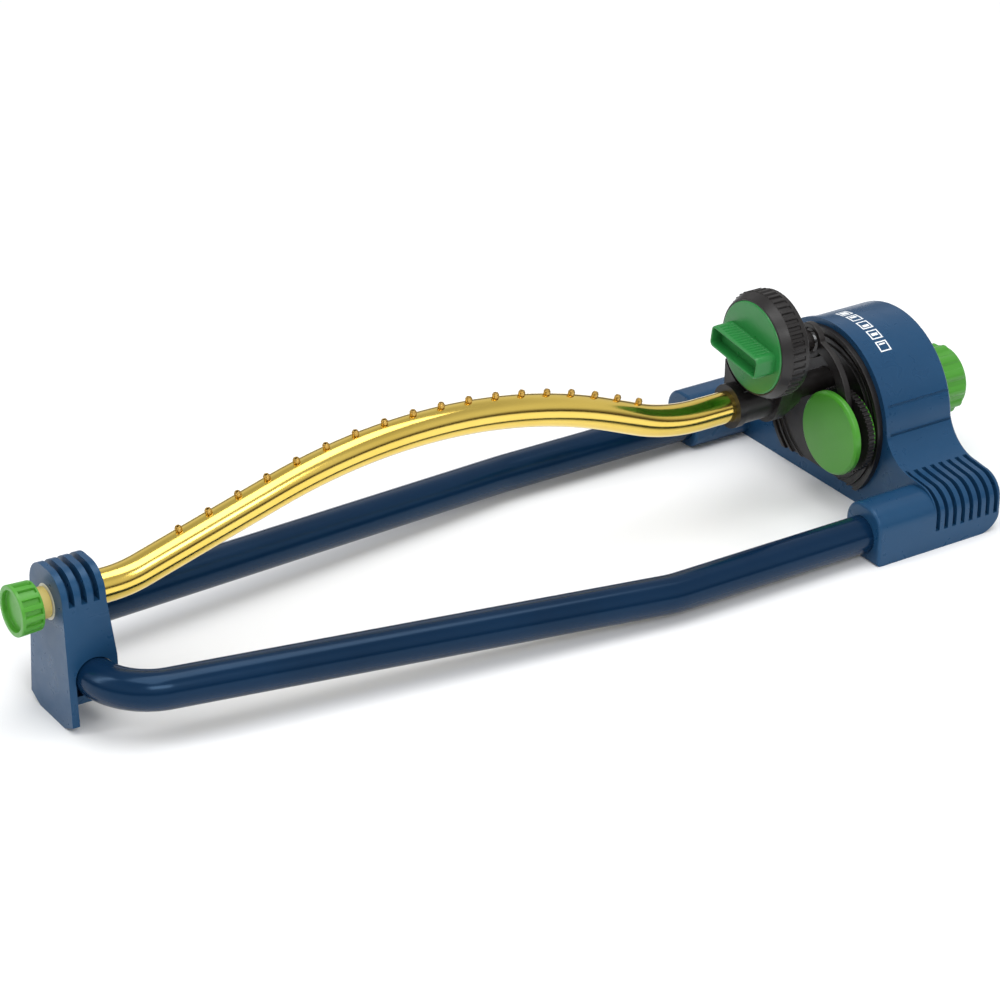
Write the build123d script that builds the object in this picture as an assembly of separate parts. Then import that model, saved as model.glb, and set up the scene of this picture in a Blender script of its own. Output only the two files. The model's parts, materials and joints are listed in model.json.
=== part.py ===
from build123d import *
import math
import os

# Oscillating lawn sprinkler. Millimetres. +X runs along the sprinkler towards the hose end,
# +Z is up, the ground is z = 0, and the origin is the middle of its footprint.

# ---- overall layout ----------------------------------------------------------------------
LENGTH = 535.0
CAP_FRONT = -LENGTH / 2
NUT_REAR = LENGTH / 2
AXIS_Z = 59.0                 # height of the axis that the spray tube swings about

# ---- tubular frame -----------------------------------------------------------------------
FRAME_RADIUS = 9.5
FRAME_WALL = 1.2
LEG_Y = 74.0                  # legs in their sockets
LEG_Z = 12.5
LEG_BEND_X = 39.5
CROSSBAR_X = -237.2
CROSSBAR_HALF = 39.6
CROSSBAR_Z = 25.4
CORNER_RADIUS = 27.0
LEG_BEND_RADIUS = 70.0
FRAME_END_X = 200.0

# ---- end bracket -------------------------------------------------------------------------
BRACKET_FRONT = -250.5
FIN_THICK = 3.2
FIN_GAP = 2.9
FIN_COUNT = 4
BRACKET_BACK = -225.9
BRACKET_TOP_BACK = BRACKET_FRONT + FIN_COUNT * FIN_THICK + (FIN_COUNT - 1) * FIN_GAP
BRACKET_TOP = 76.0
BRACKET_SKIRT = 3.6           # front wall that reaches the ground
BRACKET_HEEL_Z = 28.0         # the back of the bracket stops here
BRACKET_LEAN_Z = 34.0         # and leans forward to the fins from here
FIN_ROOT_Z = 62.0
FIN_HEIGHT = 5.5
SADDLE_GAP = 0.4
POCKET_RADIUS = 9.2           # the spray tube's end sits in a pocket behind the bush
POCKET_FRONT_X = -238.5

# ---- clamp strap under the crossbar ------------------------------------------------------
CLAMP_TOP = CROSSBAR_Z - FRAME_RADIUS - 0.1
CLAMP_THICK = 4.0
CLAMP_RIB_DROP = 9.0
CLAMP_RIB_THICK = 2.0
CLAMP_FRONT = BRACKET_FRONT + BRACKET_SKIRT + 0.2
CLAMP_BACK = CROSSBAR_X + FRAME_RADIUS
CLAMP_HALF = 15.0
CLAMP_SCREW_Y = (-9.0, 9.0)
CLAMP_SCREW_Z = CLAMP_TOP - 6.5
CLAMP_SCREW_RADIUS = 1.2
CLAMP_SCREW_LENGTH = 4.8
CLAMP_HEAD_RADIUS = 2.4
CLAMP_HEAD_HEIGHT = 1.6

# ---- spray tube --------------------------------------------------------------------------
SPRAY_RADIUS = 8.0
SPRAY_WALL = 1.0
SPRAY_START_X = -235.0
SPRAY_RISE_X = -211.3         # where the straight rise would leave the axis
CROWN_X = -39.5
CROWN_Z = 109.9               # where the rise and the fall would meet
SPRAY_FALL_X = 87.1           # where the fall would come back to the axis
SPRAY_END_X = 142.0
RISE_RADIUS = 60.0
CROWN_RADIUS = 285.0
FALL_RADIUS = 100.0
NOZZLE_COUNT = 18
NOZZLE_START = 55.0           # along the tube from its bracket end
NOZZLE_PITCH = 16.1
NOZZLE_CLOSING = 0.14         # each gap is this much shorter than the one before
NOZZLE_RADIUS = 1.7
NOZZLE_STAND = 2.6
NOZZLE_HOLE = 0.6

# ---- bracket-end journal and cap ---------------------------------------------------------
JOURNAL_RADIUS = 6.0
JOURNAL_BORE = 3.5
RUNNING_GAP = 0.05
BUSH_RADIUS = 8.5
SEAL_RADIUS = 7.4
CAP_LENGTH = 11.0
CAP_FRONT_RADIUS = 12.0
CAP_BACK_RADIUS = 11.5
CAP_RIBS = 14

# ---- swinging head -----------------------------------------------------------------------
SLEEVE_START = 124.5
SLEEVE_RADIUS = 10.4
SLEEVE_LIP = 4.0
ARM_FRONT = 146.0
ARM_BACK = 153.0
ARM_AXIS_RADIUS = 13.0
ARM_DIAL_RADIUS = 13.0
NECK_RADIUS = 6.2
NECK_BORE = 4.0
NECK_END = 203.0
CRADLE_FRONT = 130.0          # web on the sleeve that reaches up under the dial
CRADLE_INNER = -6.0
CRADLE_TOP = 84.0
CRADLE_GAP = 0.8
DIAL_Y = -12.8
DIAL_Z = 95.3
DIAL_RADIUS = 27.2
DIAL_FRONT = 128.0
DIAL_BACK = 143.0
DIAL_TEETH = 44
KNOB_RADIUS = 23.4
KNOB_THICK = 3.0
GRIP_LENGTH = 38.0
GRIP_WIDTH = 12.0
GRIP_HEIGHT = 11.5
GRIP_TILT = 8.0               # degrees above level
STUD_RADIUS = 3.0

# ---- crank, link and its pins: a four-bar linkage ----------------------------------------
CRANK_Y = -24.5
CRANK_Z = 42.3
CRANK_THROW = 10.0
CRANK_REST = 120.0            # degrees from +Y towards +Z
ROCKER_THROW = 24.0           # link pin above the swing axis
LINK_PLANE = 174.2
LINK_THICK = 3.6
LINK_WIDTH = 6.4
LINK_BOW = 10.0
PIN_RADIUS = 2.2
CRANK_EYE_RADIUS = 5.5
OPEN_EYE_HOLE = 6.6           # generous, the pin floats in it
OPEN_EYE_RADIUS = 9.2
DISC_RADIUS = 21.6
DISC_THICK = 3.8
TOOTHED_RADIUS = 22.2
TOOTHED_COUNT = 60
BACK_DISC_RADIUS = 19.5
WEB_GAP = 0.5
CRANK_SHAFT_RADIUS = 2.5

# ---- motor housing -----------------------------------------------------------------------
DRUM_RADIUS = 47.0
DRUM_Z = 41.5
DRUM_BORE = 38.0
COVER_SEAT_RADIUS = 41.1
DRUM_FLOOR = 8.5              # the drum's inside and its cover are flat below here
HOUSING_FRONT = 188.5
HOUSING_REAR = 231.5
HOUSING_WALL = 3.5
SOCKET_FRONT = 153.5
SOCKET_OUT = 14.0             # socket walls from the leg's centre line
SOCKET_IN = 12.5
SOCKET_LIP = 1.6
SOCKET_TOP = 28.5
SOCKET_CORNER = 11.0
SOCKET_TUCK = 9.0
WING_Y = LEG_Y + SOCKET_OUT
HEEL_RADIUS = 13.0            # the casing's lower rear edge
REAR_ROUND = 2.0              # the rest of its rear edge
SHOULDER_Z = 29.5
SHOULDER_RADIUS = 13.0
CONCAVE = ((68.5, 30.3), (55.0, 34.8), (46.0, 49.0))   # the hollow from the shelf up to the drum
WING_RIM = 2.4
RIM_RISE = 0.8
LOUVRE_COUNT = 8
LOUVRE_START = 190.6
LOUVRE_PITCH = 5.3
LOUVRE_WIDTH = 2.5
LOUVRE_DEPTH = 3.2
LOUVRE_FOOT = 10.0
DRUM_GROOVES = (4.0, 22.0)    # degrees up the drum's sides
GROOVE_RADIUS = 0.7
POCKET_FRONT = FRAME_END_X + 4.0
POCKET_BACK = 214.0
POCKET_TOP = 20.0
POCKET_HALF = 9.0

# ---- closing plate under the motor -------------------------------------------------------
BASE_THICK = 2.0
BASE_FRONT = 190.5
BASE_BACK = 217.0
BASE_HALF = 84.0
BASE_SCREW_X = (196.0, 211.0)
BASE_SCREW_Y = 60.0
BASE_SCREW_RADIUS = 1.3
BASE_SCREW_LENGTH = 9.0
BASE_HEAD_RADIUS = 2.9
BASE_HEAD_HEIGHT = 1.0

# ---- front cover -------------------------------------------------------------------------
COVER_FRONT = 187.0
COVER_THICK = 4.0
COVER_BACK = COVER_FRONT + COVER_THICK
COVER_RADIUS = 41.0
BEZEL_RADIUS = 44.8
COVER_RINGS = ((42.6, BEZEL_RADIUS, 1.8), (39.4, 40.6, 1.3), (36.0, 36.8, 0.9))
BOSS_BACK = 201.0             # bearing bosses behind the cover
NECK_BOSS_RADIUS = 9.6
SHAFT_BOSS_RADIUS = 5.5

# ---- gear train --------------------------------------------------------------------------
MODULE = 1.0
PINION_TEETH = 10
IDLER_TEETH = 24
OUTPUT_TEETH = 24
IDLER_ANGLE = -50.0
TURBINE_ANGLE = 28.0
GEAR_X = 202.5
GEAR_WIDTH = 4.0
TRAIN_STEP = 5.0
GEAR_PLATE_X = 214.5
GEAR_PLATE_THICK = 2.0
GEAR_PLATE_RADIUS = 37.9
WATER_WAY = (6.0, 69.0)       # hole that lets water past the plate to the neck
WATER_WAY_RADIUS = 7.2
AXLE_RADIUS = 1.5
TURBINE_RADIUS = 20.0
TURBINE_HUB = 4.0
TURBINE_VANES = 10

# ---- hose inlet --------------------------------------------------------------------------
INLET_Z = 40.0
INLET_BOSS_RADIUS = 14.5
INLET_BOSS_END = 237.5
STEM_RADIUS = 8.6
STEM_BORE = 6.2
STEM_END = 254.0
FLANGE_RADIUS = 12.0
FLANGE_THICK = 2.5
WASHER_THICK = 2.5
WASHER_BORE = 7.5
FILTER_PITCH = 1.6
FILTER_HOLE = 1.0
NUT_FRONT = 241.0
NUT_RADIUS = 18.4
NUT_FRONT_WALL = 4.0
NUT_RELIEF = 13.2
THREAD_RADIUS = 12.5          # wall of the female hose thread, 3/4 inch garden hose
NUT_LOBES = 12
LOBE_RADIUS = 3.4


def rod(radius, start, end, y=0.0, z=AXIS_Z):
    """Round bar along X."""
    return Pos((start + end) / 2, y, z) * Rot(0, 90, 0) * Cylinder(radius, end - start)


def tube(outer, inner, start, end, y=0.0, z=AXIS_Z):
    """Hollow round bar along X."""
    return rod(outer, start, end, y, z) - rod(inner, start - 1, end + 1, y, z)


def taper(start_radius, end_radius, start, end, y=0.0, z=AXIS_Z):
    """Cone along X."""
    cone = Cone(start_radius, end_radius, end - start)
    return Pos((start + end) / 2, y, z) * Rot(0, 90, 0) * cone


def block(x0, x1, y0, y1, z0, z1):
    """Box between two corners."""
    return Pos((x0 + x1) / 2, (y0 + y1) / 2, (z0 + z1) / 2) * Box(x1 - x0, y1 - y0, z1 - z0)


def along_x(face, start, end):
    """Profile drawn as (y, z), carried from one X to another."""
    return Pos(start, 0, 0) * extrude(Plane.YZ * face, amount=end - start)


def polar(radius, degrees, y=0.0, z=0.0):
    """Point (y, z) on a circle, the angle counted from +Y towards +Z."""
    angle = math.radians(degrees)
    return (y + radius * math.cos(angle), z + radius * math.sin(angle))


def toothed_face(count, root, tip, root_share, tip_share):
    """Wheel outline with straight-sided teeth; shares are tooth widths over the pitch."""
    points = []
    pitch = 360.0 / count
    for i in range(count):
        middle = i * pitch
        corners = ((root, -root_share), (tip, -tip_share), (tip, tip_share), (root, root_share))
        points += [polar(radius, middle + side * pitch / 2) for radius, side in corners]
    return make_face(Polyline(*points, close=True))


def gear_face(teeth):
    """Small moulded gear: short straight-sided teeth with plenty of backlash."""
    pitch_radius = MODULE * teeth / 2
    return toothed_face(teeth, pitch_radius - 1.0 * MODULE, pitch_radius + 0.72 * MODULE, 0.62, 0.2)


def screw(x, y, z, head_radius, head_height, shank_radius, length, direction):
    """Cross-recessed screw; direction points from the head to the tip."""
    head = Pos(0, 0, -head_height / 2) * Cylinder(head_radius, head_height)
    shank = Pos(0, 0, length / 2) * Cylinder(shank_radius, length)
    recess = Box(head_radius * 1.2, head_radius * 0.3, head_height * 0.6)
    recess = recess + Rot(0, 0, 90) * recess
    body = head + shank - Pos(0, 0, -head_height) * recess
    return Plane(origin=(x, y, z), z_dir=direction) * body


# ---- frame and end bracket ---------------------------------------------------------------
def frame_tube():
    route = [(FRAME_END_X, -LEG_Y, LEG_Z), (LEG_BEND_X, -LEG_Y, LEG_Z),
             (CROSSBAR_X, -CROSSBAR_HALF, CROSSBAR_Z), (CROSSBAR_X, CROSSBAR_HALF, CROSSBAR_Z),
             (LEG_BEND_X, LEG_Y, LEG_Z), (FRAME_END_X, LEG_Y, LEG_Z)]
    radii = [LEG_BEND_RADIUS, CORNER_RADIUS, CORNER_RADIUS, LEG_BEND_RADIUS]
    path = FilletPolyline(*route, radius=radii)
    ring = Circle(FRAME_RADIUS) - Circle(FRAME_RADIUS - FRAME_WALL)
    return sweep(Plane(origin=route[0], z_dir=(-1, 0, 0)) * ring, path=path)


def bracket_face(inset):
    """Front view of the bracket: flat foot, sides that lean in, rounded top."""
    foot, heel, side = 12.0 - inset, 20.5 - inset, 16.2 - inset
    top = BRACKET_TOP - inset
    outline = Polyline((-foot, 0), (foot, 0), (heel, 4), (side, 60), (side - 0.8, top),
                       (0.8 - side, top), (-side, 60), (-heel, 4), close=True)
    face = make_face(outline)
    corners = face.vertices().filter_by(lambda v: v.Y > 61)
    return fillet(corners, 13.0 - inset)


def end_bracket():
    body = along_x(bracket_face(0), BRACKET_FRONT, BRACKET_BACK)
    lean = Polyline((BRACKET_BACK, BRACKET_LEAN_Z), (BRACKET_TOP_BACK, FIN_ROOT_Z),
                    (BRACKET_TOP_BACK, BRACKET_TOP + 1), (BRACKET_BACK + 1, BRACKET_TOP + 1),
                    (BRACKET_BACK + 1, BRACKET_LEAN_Z), close=True)
    body -= extrude(Plane.XZ * make_face(lean), amount=40, both=True)
    groove = bracket_face(-2.0) - bracket_face(FIN_HEIGHT)
    groove = groove & (Pos(0, FIN_ROOT_Z + 20) * Rectangle(60, 40))
    for i in range(FIN_COUNT - 1):
        start = BRACKET_FRONT + FIN_THICK + i * (FIN_THICK + FIN_GAP)
        body -= along_x(groove, start, start + FIN_GAP)
    saddle = FRAME_RADIUS + SADDLE_GAP
    body -= Pos(CROSSBAR_X, 0, CROSSBAR_Z) * Rot(90, 0, 0) * Cylinder(saddle, 60)
    body -= block(BRACKET_FRONT + BRACKET_SKIRT, CROSSBAR_X + saddle, -40, 40, -1, CROSSBAR_Z)
    body -= block(CROSSBAR_X, BRACKET_BACK + 1, -40, 40, -1, BRACKET_HEEL_Z)
    body -= rod(BUSH_RADIUS, BRACKET_FRONT - 1, POCKET_FRONT_X + 1)
    body -= rod(POCKET_RADIUS, POCKET_FRONT_X, BRACKET_BACK + 1)
    for y in CLAMP_SCREW_Y:
        body -= rod(CLAMP_SCREW_RADIUS, CLAMP_FRONT - 3.0, CLAMP_FRONT + 1, y, CLAMP_SCREW_Z)
    return body


def bracket_bush():
    return tube(BUSH_RADIUS, JOURNAL_RADIUS + RUNNING_GAP, BRACKET_FRONT, POCKET_FRONT_X)


def bracket_clamp():
    """Strap under the crossbar that holds it up in the saddle."""
    low = CLAMP_TOP - CLAMP_THICK
    rib_back = CLAMP_FRONT + CLAMP_RIB_THICK
    body = block(CLAMP_FRONT, CLAMP_BACK, -CLAMP_HALF, CLAMP_HALF, low, CLAMP_TOP)
    body += block(CLAMP_FRONT, rib_back, -CLAMP_HALF, CLAMP_HALF, CLAMP_TOP - CLAMP_RIB_DROP, low)
    for y in CLAMP_SCREW_Y:
        body -= rod(CLAMP_SCREW_RADIUS, CLAMP_FRONT - 1, rib_back + 1, y, CLAMP_SCREW_Z)
    return body


def clamp_screws():
    """Two screws through the rib into the bracket's front wall."""
    x = CLAMP_FRONT + CLAMP_RIB_THICK
    screws = []
    for y in CLAMP_SCREW_Y:
        screws.append(screw(x, y, CLAMP_SCREW_Z, CLAMP_HEAD_RADIUS, CLAMP_HEAD_HEIGHT,
                            CLAMP_SCREW_RADIUS, CLAMP_SCREW_LENGTH, (-1, 0, 0)))
    return Compound(children=screws)


# ---- spray tube and its end fittings -----------------------------------------------------
def spray_path():
    return FilletPolyline((SPRAY_START_X, 0, AXIS_Z), (SPRAY_RISE_X, 0, AXIS_Z), (CROWN_X, 0, CROWN_Z),
                          (SPRAY_FALL_X, 0, AXIS_Z), (SPRAY_END_X, 0, AXIS_Z),
                          radius=[RISE_RADIUS, CROWN_RADIUS, FALL_RADIUS])


def nozzle_planes():
    """One plane per nozzle: on the centreline, its normal square to the tube in the XZ plane."""
    path = spray_path()
    planes = []
    for i in range(NOZZLE_COUNT):
        distance = NOZZLE_START + i * NOZZLE_PITCH - NOZZLE_CLOSING * i * (i - 1) / 2
        spot = path.position_at(distance, position_mode=PositionMode.LENGTH)
        along = path.tangent_at(distance, position_mode=PositionMode.LENGTH)
        planes.append(Plane(origin=spot, x_dir=along, z_dir=(-along.Z, 0, along.X)))
    return planes


def spray_tube():
    section = Circle(SPRAY_RADIUS) - Circle(SPRAY_RADIUS - SPRAY_WALL)
    start = Plane(origin=(SPRAY_START_X, 0, AXIS_Z), z_dir=(1, 0, 0))
    body = sweep(start * section, path=spray_path())
    for plane in nozzle_planes():
        body -= plane * Pos(0, 0, SPRAY_RADIUS) * Cylinder(NOZZLE_RADIUS - 0.4, 6)
    return body


def nozzles():
    """Turned brass jets pressed into the tube."""
    low = SPRAY_RADIUS - SPRAY_WALL - 0.8
    high = SPRAY_RADIUS + NOZZLE_STAND
    jets = []
    for plane in nozzle_planes():
        jet = Pos(0, 0, (low + high) / 2) * Cylinder(NOZZLE_RADIUS - 0.4, high - low)
        jet += Pos(0, 0, SPRAY_RADIUS + 0.1 + 0.9) * Cylinder(NOZZLE_RADIUS, 1.8)
        jet -= Pos(0, 0, SPRAY_RADIUS) * Cylinder(NOZZLE_HOLE, 12)
        jets.append(plane * jet)
    return Compound(children=jets)


JOURNAL_END = CAP_FRONT + 4.0


def tube_journal():
    """Plug in the tube's bracket end, with the hollow journal that turns in the bush."""
    body = rod(SPRAY_RADIUS - SPRAY_WALL, SPRAY_START_X, SPRAY_START_X + 8)
    body += rod(SPRAY_RADIUS, SPRAY_START_X - 3, SPRAY_START_X)
    body += rod(JOURNAL_RADIUS, JOURNAL_END, SPRAY_START_X)
    return body - rod(JOURNAL_BORE, JOURNAL_END - 1, SPRAY_START_X + 9)


CAP_BACK = CAP_FRONT + CAP_LENGTH


def end_cap():
    """Ribbed screw cap; the recess shows at its closed front end."""
    body = taper(CAP_FRONT_RADIUS - 0.9, CAP_BACK_RADIUS - 0.9, CAP_FRONT, CAP_BACK)
    length = CAP_LENGTH - 1.2
    middle = CAP_FRONT + 0.6 + length / 2
    lean = math.degrees(math.atan2(CAP_BACK_RADIUS - CAP_FRONT_RADIUS, CAP_LENGTH))
    radius = (CAP_FRONT_RADIUS + CAP_BACK_RADIUS) / 2 - 0.95
    for i in range(CAP_RIBS):
        rib = Pos(middle, 0, radius) * Rot(0, -lean, 0) * Box(length, 3.0, 1.9)
        body += Pos(0, 0, AXIS_Z) * Rot(360.0 * i / CAP_RIBS, 0, 0) * rib
    body -= rod(CAP_FRONT_RADIUS - 2.4, CAP_FRONT - 1, CAP_FRONT + 2.4)
    return body - rod(JOURNAL_RADIUS + RUNNING_GAP, JOURNAL_END - 0.3, CAP_BACK + 1)


def cap_seal():
    """Sealing ring between the cap and the bracket."""
    return tube(SEAL_RADIUS, JOURNAL_RADIUS + RUNNING_GAP, CAP_BACK, BRACKET_FRONT - 0.3)


def cleaning_pin():
    """Needle kept inside the cap for clearing a blocked jet."""
    return rod(0.7, JOURNAL_END - 0.3, JOURNAL_END + 22)


# ---- swinging head -----------------------------------------------------------------------
def arm_face():
    """Side view of the arm: a bar between the swing axis and the dial axis, rounded at both."""
    low, high = Vector(0, AXIS_Z), Vector(DIAL_Y, DIAL_Z)
    side = (high - low).normalized().rotate(Axis.Z, 90) * ARM_DIAL_RADIUS
    bar = make_face(Polyline(low + side, high + side, high - side, low - side, close=True))
    return bar + Pos(low) * Circle(ARM_AXIS_RADIUS) + Pos(high) * Circle(ARM_DIAL_RADIUS)


ROCKER_Z = AXIS_Z + ROCKER_THROW
DIAL_STUD_FRONT = DIAL_FRONT + 4.5


def manifold():
    """Black head: sleeve over the spray tube, arm for the dial, hollow neck into the motor."""
    body = rod(SLEEVE_RADIUS, SLEEVE_START, ARM_FRONT)
    body += rod(SLEEVE_RADIUS + 0.9, SLEEVE_START, SLEEVE_START + SLEEVE_LIP)
    body += along_x(arm_face(), ARM_FRONT, ARM_BACK)
    cradle = block(CRADLE_FRONT, ARM_FRONT, CRADLE_INNER, SLEEVE_RADIUS, AXIS_Z, CRADLE_TOP)
    body += cradle - rod(DIAL_RADIUS + CRADLE_GAP, CRADLE_FRONT - 1, ARM_FRONT - 1, DIAL_Y, DIAL_Z)
    body += taper(ARM_AXIS_RADIUS, NECK_RADIUS + 2.5, ARM_BACK, LINK_PLANE - 10)
    body += rod(NECK_RADIUS, ARM_BACK, NECK_END)
    body += rod(CRANK_EYE_RADIUS, ARM_BACK, LINK_PLANE - WEB_GAP, 0, ROCKER_Z)
    body -= rod(SPRAY_RADIUS, SLEEVE_START - 1, SPRAY_END_X)
    body -= rod(NECK_BORE, SPRAY_END_X - 1, NECK_END + 1)
    body -= rod(STUD_RADIUS, ARM_FRONT - 1, ARM_BACK - 1.5, DIAL_Y, DIAL_Z)
    return body - rod(PIN_RADIUS, LINK_PLANE - 12, LINK_PLANE + 6, 0, ROCKER_Z)


def link_pin():
    return rod(PIN_RADIUS, LINK_PLANE - 12, LINK_PLANE + LINK_THICK - 0.2, 0, ROCKER_Z)


def dial_stud():
    """Shouldered stud in the arm that the dial turns on."""
    body = rod(STUD_RADIUS, DIAL_STUD_FRONT, ARM_BACK - 1.5, DIAL_Y, DIAL_Z)
    return body + rod(STUD_RADIUS + 2, DIAL_STUD_FRONT - 1.5, DIAL_STUD_FRONT, DIAL_Y, DIAL_Z)


def dial_place():
    return Pos(0, DIAL_Y, DIAL_Z)


def pattern_dial():
    """Wheel with a bevelled front and a knurled edge band."""
    bevel = taper(KNOB_RADIUS + 0.8, DIAL_RADIUS - 0.4, DIAL_FRONT, DIAL_FRONT + 5, 0, 0)
    band = toothed_face(DIAL_TEETH, DIAL_RADIUS - 1.0, DIAL_RADIUS, 0.66, 0.5)
    body = bevel + along_x(band, DIAL_FRONT + 5, DIAL_BACK - 2.5)
    body += rod(DIAL_RADIUS - 0.6, DIAL_BACK - 2.5, DIAL_BACK, 0, 0)
    body -= rod(KNOB_RADIUS + 0.05, DIAL_FRONT - 1, DIAL_FRONT + KNOB_THICK, 0, 0)
    body -= rod(STUD_RADIUS + RUNNING_GAP, DIAL_FRONT, DIAL_BACK + 1, 0, 0)
    body -= rod(STUD_RADIUS + 2.3, DIAL_FRONT, DIAL_STUD_FRONT + 0.1, 0, 0)
    return dial_place() * body


def knob():
    """Round face plate with a hollow grip bar across it."""
    plate = rod(KNOB_RADIUS, DIAL_FRONT - 0.6, DIAL_FRONT + KNOB_THICK - 0.1, 0, 0)
    front = DIAL_FRONT - GRIP_HEIGHT
    grip = block(front, DIAL_FRONT, -GRIP_LENGTH / 2, GRIP_LENGTH / 2, -GRIP_WIDTH / 2, GRIP_WIDTH / 2)
    grip = fillet(grip.edges().filter_by(Axis.X), 1.6)
    hollow = block(front - 1, front + 6, 1.8 - GRIP_LENGTH / 2, GRIP_LENGTH / 2 - 1.8,
                   1.6 - GRIP_WIDTH / 2, GRIP_WIDTH / 2 - 1.6)
    body = plate + grip - hollow
    return dial_place() * Rot(GRIP_TILT, 0, 0) * body


# ---- crank and link ----------------------------------------------------------------------
CRANK_PIN_Y, CRANK_PIN_Z = polar(CRANK_THROW, CRANK_REST, CRANK_Y, CRANK_Z)
DISC_BACK = LINK_PLANE - WEB_GAP
DISC_FRONT = DISC_BACK - DISC_THICK
TOOTHED_FRONT = LINK_PLANE + LINK_THICK + WEB_GAP
TOOTHED_BACK = TOOTHED_FRONT + DISC_THICK
BACK_DISC_BACK = TOOTHED_BACK + 2.4


def crank_front_disc():
    body = rod(DISC_RADIUS, DISC_FRONT + 1.2, DISC_BACK, CRANK_Y, CRANK_Z)
    body += taper(DISC_RADIUS - 1.2, DISC_RADIUS, DISC_FRONT, DISC_FRONT + 1.2, CRANK_Y, CRANK_Z)
    return body - rod(PIN_RADIUS, DISC_BACK - 2.5, DISC_BACK + 1, CRANK_PIN_Y, CRANK_PIN_Z)


def crank_toothed_disc():
    face = toothed_face(TOOTHED_COUNT, TOOTHED_RADIUS - 0.8, TOOTHED_RADIUS, 0.75, 0.4)
    body = Pos(0, CRANK_Y, CRANK_Z) * along_x(face, TOOTHED_FRONT, TOOTHED_BACK)
    body -= rod(PIN_RADIUS, TOOTHED_FRONT - 1, TOOTHED_BACK + 1, CRANK_PIN_Y, CRANK_PIN_Z)
    return body - rod(CRANK_SHAFT_RADIUS, TOOTHED_FRONT + 1, TOOTHED_BACK + 1, CRANK_Y, CRANK_Z)


def crank_back_disc():
    body = rod(BACK_DISC_RADIUS, TOOTHED_BACK, BACK_DISC_BACK, CRANK_Y, CRANK_Z)
    return body - rod(CRANK_SHAFT_RADIUS, TOOTHED_BACK - 1, BACK_DISC_BACK + 1, CRANK_Y, CRANK_Z)


def crank_pin():
    """Pin that joins the two crank webs through the link's lower eye."""
    return rod(PIN_RADIUS, DISC_BACK - 2.5, TOOTHED_BACK, CRANK_PIN_Y, CRANK_PIN_Z)


def crank_shaft():
    return rod(CRANK_SHAFT_RADIUS, TOOTHED_FRONT + 1, GEAR_PLATE_X + GEAR_PLATE_THICK, CRANK_Y, CRANK_Z)


def link_arm():
    """Bowed bar from the crank pin to the head's pin; it curves round the neck."""
    low, high = Vector(CRANK_PIN_Y, CRANK_PIN_Z), Vector(0, ROCKER_Z)
    outward = (high - low).normalized().rotate(Axis.Z, 90)
    middle = (low + high) / 2 + outward * LINK_BOW
    spine = ThreePointArc(low, middle, high)
    band = trace(spine, line_width=LINK_WIDTH)
    face = band + Pos(low) * Circle(CRANK_EYE_RADIUS) + Pos(high) * Circle(OPEN_EYE_RADIUS)
    face -= Pos(low) * Circle(PIN_RADIUS + RUNNING_GAP)
    face -= Pos(high) * Circle(OPEN_EYE_HOLE)
    return along_x(face, LINK_PLANE, LINK_PLANE + LINK_THICK)


# ---- motor housing -----------------------------------------------------------------------
def wing_half(rise):
    """Half of the housing's end view without the drum: flat base, rounded shoulder, concave rise."""
    edge, top = WING_Y, SHOULDER_Z + rise
    shoulder_start = (edge, top - SHOULDER_RADIUS)
    shoulder_middle = polar(SHOULDER_RADIUS, 45.0, edge - SHOULDER_RADIUS, top - SHOULDER_RADIUS)
    shoulder_end = (edge - SHOULDER_RADIUS, top)
    shelf_end, hollow, rise_end = [(y, z + rise) for y, z in CONCAVE]
    return make_face([Line((0, 0), (edge, 0)), Line((edge, 0), shoulder_start),
                      ThreePointArc(shoulder_start, shoulder_middle, shoulder_end),
                      Line(shoulder_end, shelf_end), ThreePointArc(shelf_end, hollow, rise_end),
                      Line(rise_end, (0, rise_end[1])), Line((0, rise_end[1]), (0, 0))])


def housing_face(rise):
    half = wing_half(rise)
    ground = Pos(0, 100) * Rectangle(300, 200)
    drum = (Pos(0, DRUM_Z) * Circle(DRUM_RADIUS + rise)) & ground
    return half + mirror(half, about=Plane.YZ) + drum


def socket():
    """Collar on the +Y side: rounded over the tube and tucked in beneath it, its mouth softened."""
    corners = ((-SOCKET_IN, 0), (SOCKET_OUT, 0), (SOCKET_OUT, SOCKET_TOP), (-SOCKET_IN, SOCKET_TOP))
    face = make_face(Polyline(*corners, close=True))
    face = fillet(face.vertices().group_by(Axis.Y)[-1], SOCKET_CORNER)
    face = fillet(face.vertices().group_by(Axis.Y)[0].sort_by(Axis.X)[0], SOCKET_TUCK)
    collar = along_x(face, SOCKET_FRONT, HOUSING_FRONT + 8)
    return fillet(collar.faces().sort_by(Axis.X)[0].edges(), SOCKET_LIP)


def louvres(side):
    """Upright cuts that wrap over the wing's shoulder."""
    depth = LOUVRE_DEPTH
    clear = SHOULDER_Z + 30
    outline = ((62.0, clear), (62.0, SHOULDER_Z + 2.9 - depth), (75.0, SHOULDER_Z - depth),
               (WING_Y - 6.0, SHOULDER_Z - 4.0 - depth), (WING_Y - depth, SHOULDER_Z - SHOULDER_RADIUS),
               (WING_Y - depth, LOUVRE_FOOT), (WING_Y + 5, LOUVRE_FOOT), (WING_Y + 5, clear))
    face = make_face(Polyline(*[(side * y, z) for y, z in outline], close=True))
    starts = [LOUVRE_START + i * LOUVRE_PITCH - LOUVRE_WIDTH / 2 for i in range(LOUVRE_COUNT)]
    return [along_x(face, start, start + LOUVRE_WIDTH) for start in starts]


def above_floor(gap):
    """Everything over the drum's flat floor."""
    return block(SOCKET_FRONT, HOUSING_REAR + 1, -WING_Y, WING_Y, DRUM_FLOOR + gap, 2 * DRUM_RADIUS)


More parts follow.
